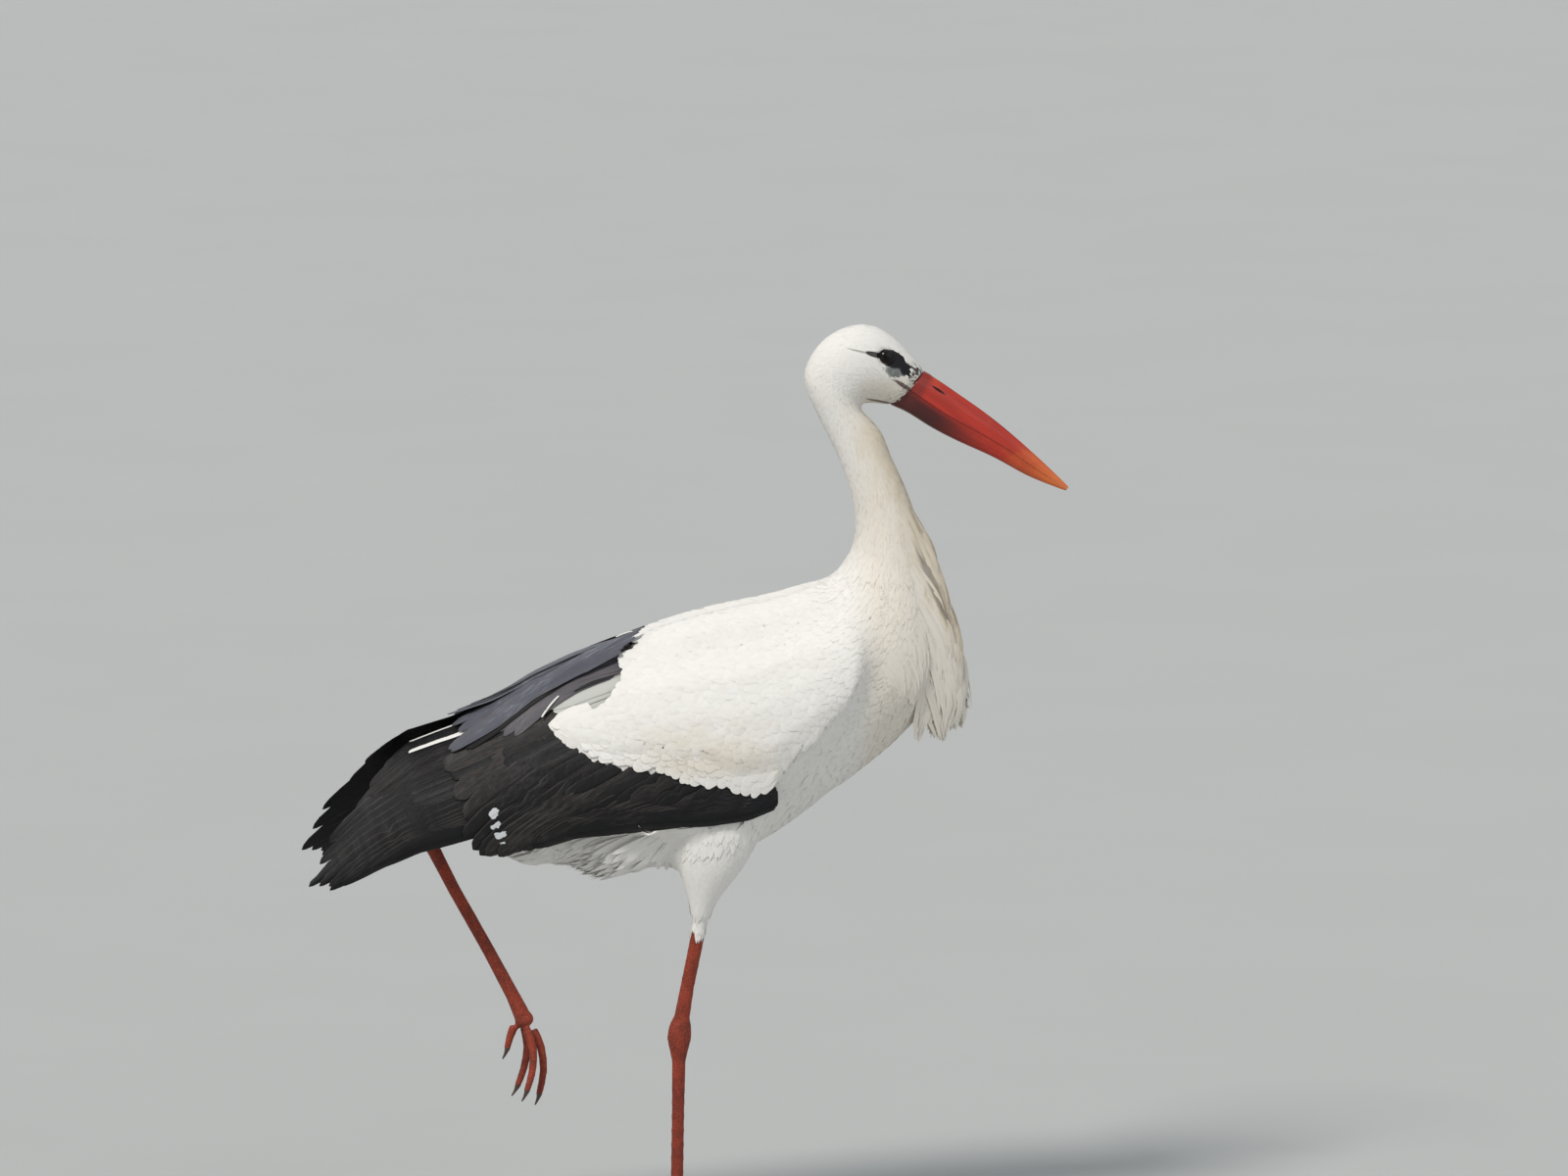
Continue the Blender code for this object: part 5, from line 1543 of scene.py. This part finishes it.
def below_wings(spots, ups):
    """Places on the flanks, under a wing, whose feathers come out from under it."""
    ways, values = lie_at(spots)
    ends = spots + level(ways, ups) * (values[:, 1:2] * MM)
    hidden = under_wing(spots, ups)
    hidden[hidden] = ~under_wing(ends[hidden], ups[hidden])
    return hidden & in_box(spots, FLANKS)


BACK_STEP = 0.004
BACK_STEPS = 10


def drawn_back(roots, ways, lengths):
    """Moves roots back along their feathers until no white tip lies over the dark ones."""
    roots = roots.copy()
    for _ in range(BACK_STEPS):
        over = dark(roots + ways * lengths[:, None])
        roots[over] -= ways[over] * BACK_STEP
    keep = ~dark(roots + ways * lengths[:, None])
    return roots, keep


skin = Skin()
settle(skin.thing, skin_finish(), "white_plumage", *FLESH)
white = white_feathers()
black = dark_feathers("black_feathers", BLACK, 0.44, DROPS)
silver = dark_feathers("silver_feathers", SILVER, 0.48)
wing_nodes = [panel + "_" + word for panel in PANELS for word, _ in SIDES]
body = throwaway(fused, "body_form", FEATHERED, voxel=0.0025, smooth=4)
cloak = throwaway(fused, "cloak_form", FEATHERED + wing_nodes, voxel=0.0025, smooth=8)
mantle = throwaway(filled, "mantle_form", FEATHERED + wing_nodes, voxel=0.0030, smooth=26)
panels = throwaway(merged, "panels_form", wing_nodes)
flesh = throwaway(fused, "flesh_form", FLESH, voxel=0.0022, smooth=2)
white_nodes = wing_nodes[:4]     # the mantle and the covert panels
white_solids = throwaway(merged, "white_solids", white_nodes)
rng = np.random.default_rng(7)
pick = np.random.default_rng(8)

FRINGE_AT = (-0.030, -0.128)     # where along the belly the loose feathers hang lowest


def fringe(spots):
    """How far the loose feathers under the belly stand off, in millimetres."""
    return 2.5 + sum(14.0 * np.exp(-((spots[:, 0] - at) / 0.022) ** 2) for at in FRINGE_AT)


STYLES = {"covert": {"proud": 0.06, "bulk": 0.14, "dip": 0.030},
          "thigh": {"proud": 0.05, "round_off": 0.05, "dip": 0.03},
          "head": {"proud": 0.06, "dip": 0.035, "turned": -0.20},
          "neck": {"proud": 0.08, "dip": 0.035, "turned": -0.20},
          "breast": {"loose": 0.2}, "belly": {"loose": 0.3}}
# what the lie's values are multiplied by: on the body, then on the head and neck
WIDER = ((1.0, 1.0, 1.12, 0.8), (1.0, 1.0, 1.28, 0.90))


def lay(name, form, roots, ways, values, outline=SOFT, replaced=(), **settings):
    """One piece of white feathers on a form."""
    coat = Coat(name)
    strew(coat, form, roots, ways, values, rng, outline, **settings)
    coat.make(white, skin, "white_plumage", replaced)


def lay_white(form, area, seed, regions):
    """Strews white feathers over part of a form, in pieces by region."""
    roots = scatter(form, spaced, area, seed)
    ways, values = white_lie(roots)
    roots, keep = drawn_back(roots, level(ways, form.nearest(roots)[1]), values[:, 1] * MM)
    roots, ways, values = roots[keep], ways[keep], values[keep]
    left_over = np.ones(len(roots), bool)
    for name, chosen, style, replaced in regions(roots):
        chosen = chosen & left_over
        left_over &= ~chosen
        wider = WIDER[int(style is HAIR)]
        lay(name, form, roots[chosen], ways[chosen], values[chosen] * wider, style, replaced,
            **STYLES.get(name.split("_")[0], {}))


def high_regions(roots):
    on_head = roots[:, 2] > NECK_TOP
    return (("head_feathers", on_head, HAIR, ()), ("neck_feathers", ~on_head, HAIR, ()))


ON_WINGS = 0.009         # how near the wings' white solids a covert's root lies
COVERTS_FROM = 0.150
BREAST_FROM = 0.100
OVERLAP = 0.012          # how far the two forms of the neck share their feathers


def low_regions(roots):
    x, y, _ = roots.T
    on_wings = (white_solids.gap(roots) < ON_WINGS) & (x < COVERTS_FROM)
    thigh = in_box(roots, THIGHS[0]) | in_box(roots, THIGHS[1])
    return (("covert_feathers_right", on_wings & (y < 0.0), ROUND, ("mantle_right", "coverts_right")),
            ("covert_feathers_left", on_wings, ROUND, ("mantle_left", "coverts_left")),
            ("thigh_feathers", thigh, SOFT, ()),
            ("breast_feathers", x > BREAST_FROM, SOFT, ()),
            ("belly_feathers", x < FAR, SOFT, ()))


lay_white(cloak, lambda spots, ups: white_area(spots, ups) & (spots[:, 2] > NECK_FOOT), 11,
          high_regions)
lay_white(mantle, lambda spots, ups: white_area(spots, ups) & (spots[:, 2] < NECK_FOOT + OVERLAP), 13,
          low_regions)


# ---- smaller groups of white feathers: values as in the lie, spacing, length, half width, depth --
UNDER_VALUES = (8.5, 34.0, 9.5, 3.0)
UNDER_GAP = 0.010        # how near the wings' white solids the under coverts lie
UNDER_HIGH = 0.560       # over this height they cover the whole back
UNDER_CLEAR = 0.008      # how far their tips keep from the dark feathers
FRINGE_STEEP = -0.25     # the fringe grows where the belly faces down more than this
FRINGE_DROP = (0.0, 0.0, -0.3)
FRINGE_SHARES = (1.0, 1.1, 0.9, 0.6)     # its values as shares of the lie's
THIGH_END_VALUES = (2.4, 26.0, 2.2, 0.8)
THIGH_END_WAY = (-0.12, 0.0, -1.0)
BILL_FOOT_VALUES = (0.85, 5.0, 0.70, 0.0)
BILL_FOOT_WAY = (-0.93, 0.0, -0.25)


def even(spacing):
    """A spacing that is the same everywhere."""
    return lambda spots: np.full(len(spots), spacing)


def wing_base(spots, ups):
    near = (white_solids.gap(spots) < UNDER_GAP) | (spots[:, 2] > UNDER_HIGH)
    return ~dark(spots) & open_to_view(spots, ups) & in_box(spots, WING_BASE) & near


def belly_side(spots, ups):
    return ((ups[:, 2] < FRINGE_STEEP) & in_box(spots, BELLY_SIDE) & ~dark(spots)
            & ~in_box(spots, THIGH_TOPS))


def outward(places):
    """Turns the light that falls on soft hanging feathers towards the side they are seen from."""
    return np.stack([np.zeros(places.shape[:2]), 1.3 * np.sign(places[..., 1]),
                     np.full(places.shape[:2], 0.3)], -1)


def bill_foot(spots, ups):
    def covers(place):
        along, over = in_oval(spots[:, 0], spots[:, 2], place)
        return along ** 2 + over ** 2 < 1.0

    lobes = covers(BILL_LOBES[0]) | covers(BILL_LOBES[1])
    return lobes & ~covers(GAPE) & (abs(ups[:, 1]) > 0.25)


def same(row, roots):
    return np.tile(row, (len(roots), 1))


roots = scatter(mantle, even(0.0070), wing_base, 19)
ways, _ = white_lie(roots)
values = same(UNDER_VALUES, roots)
reach = values[:, 1] * MM + UNDER_CLEAR
roots, keep = drawn_back(roots, level(ways, mantle.nearest(roots)[1]), reach)
lay("under_coverts", mantle, roots[keep], ways[keep], values[keep], ROUND, proud=-0.9, bulk=0.3)

roots = scatter(body, lambda s: lie_at(s)[1][:, 0] * MM * DENSE, below_wings, 12)
lay("flank_feathers", body, roots, *lie_at(roots), loose=0.8)

roots = scatter(body, even(0.0034), belly_side, 23)
ways, values = lie_at(roots)
lay("belly_fringe", body, roots, unit(ways + FRINGE_DROP), values * FRINGE_SHARES,
    loose=fringe(roots), wander=0.10, together=0.75, round_off=0.05, leaning=outward)

roots = scatter(body, even(0.0024), lambda s, ups: in_box(s, THIGH_END), 29)
lay("thigh_end_feathers", flesh, roots, same(THIGH_END_WAY, roots), same(THIGH_END_VALUES, roots),
    LANCE, loose=0.5, wander=0.05)

bills = throwaway(merged, "bill_form", ["bill_upper", "bill_lower", "head"])
roots = scatter(bills, even(0.00085), bill_foot, 37)
lay("bill_foot_feathers", bills, roots, same(BILL_FOOT_WAY, roots), same(BILL_FOOT_VALUES, roots),
    HAIR, proud=1.3, wander=0.14, dip=0.0)

for word, side in SIDES:
    black_wing(word, side, skin, black)
    shoulder(word, side, skin, silver)
    white_edge(word, side, skin, white)
stripes(skin, white)

breast_plumes(skin, body, white)
tail_fan(skin, white)
make_bill()
make_eyes()
make_claws()
studio()
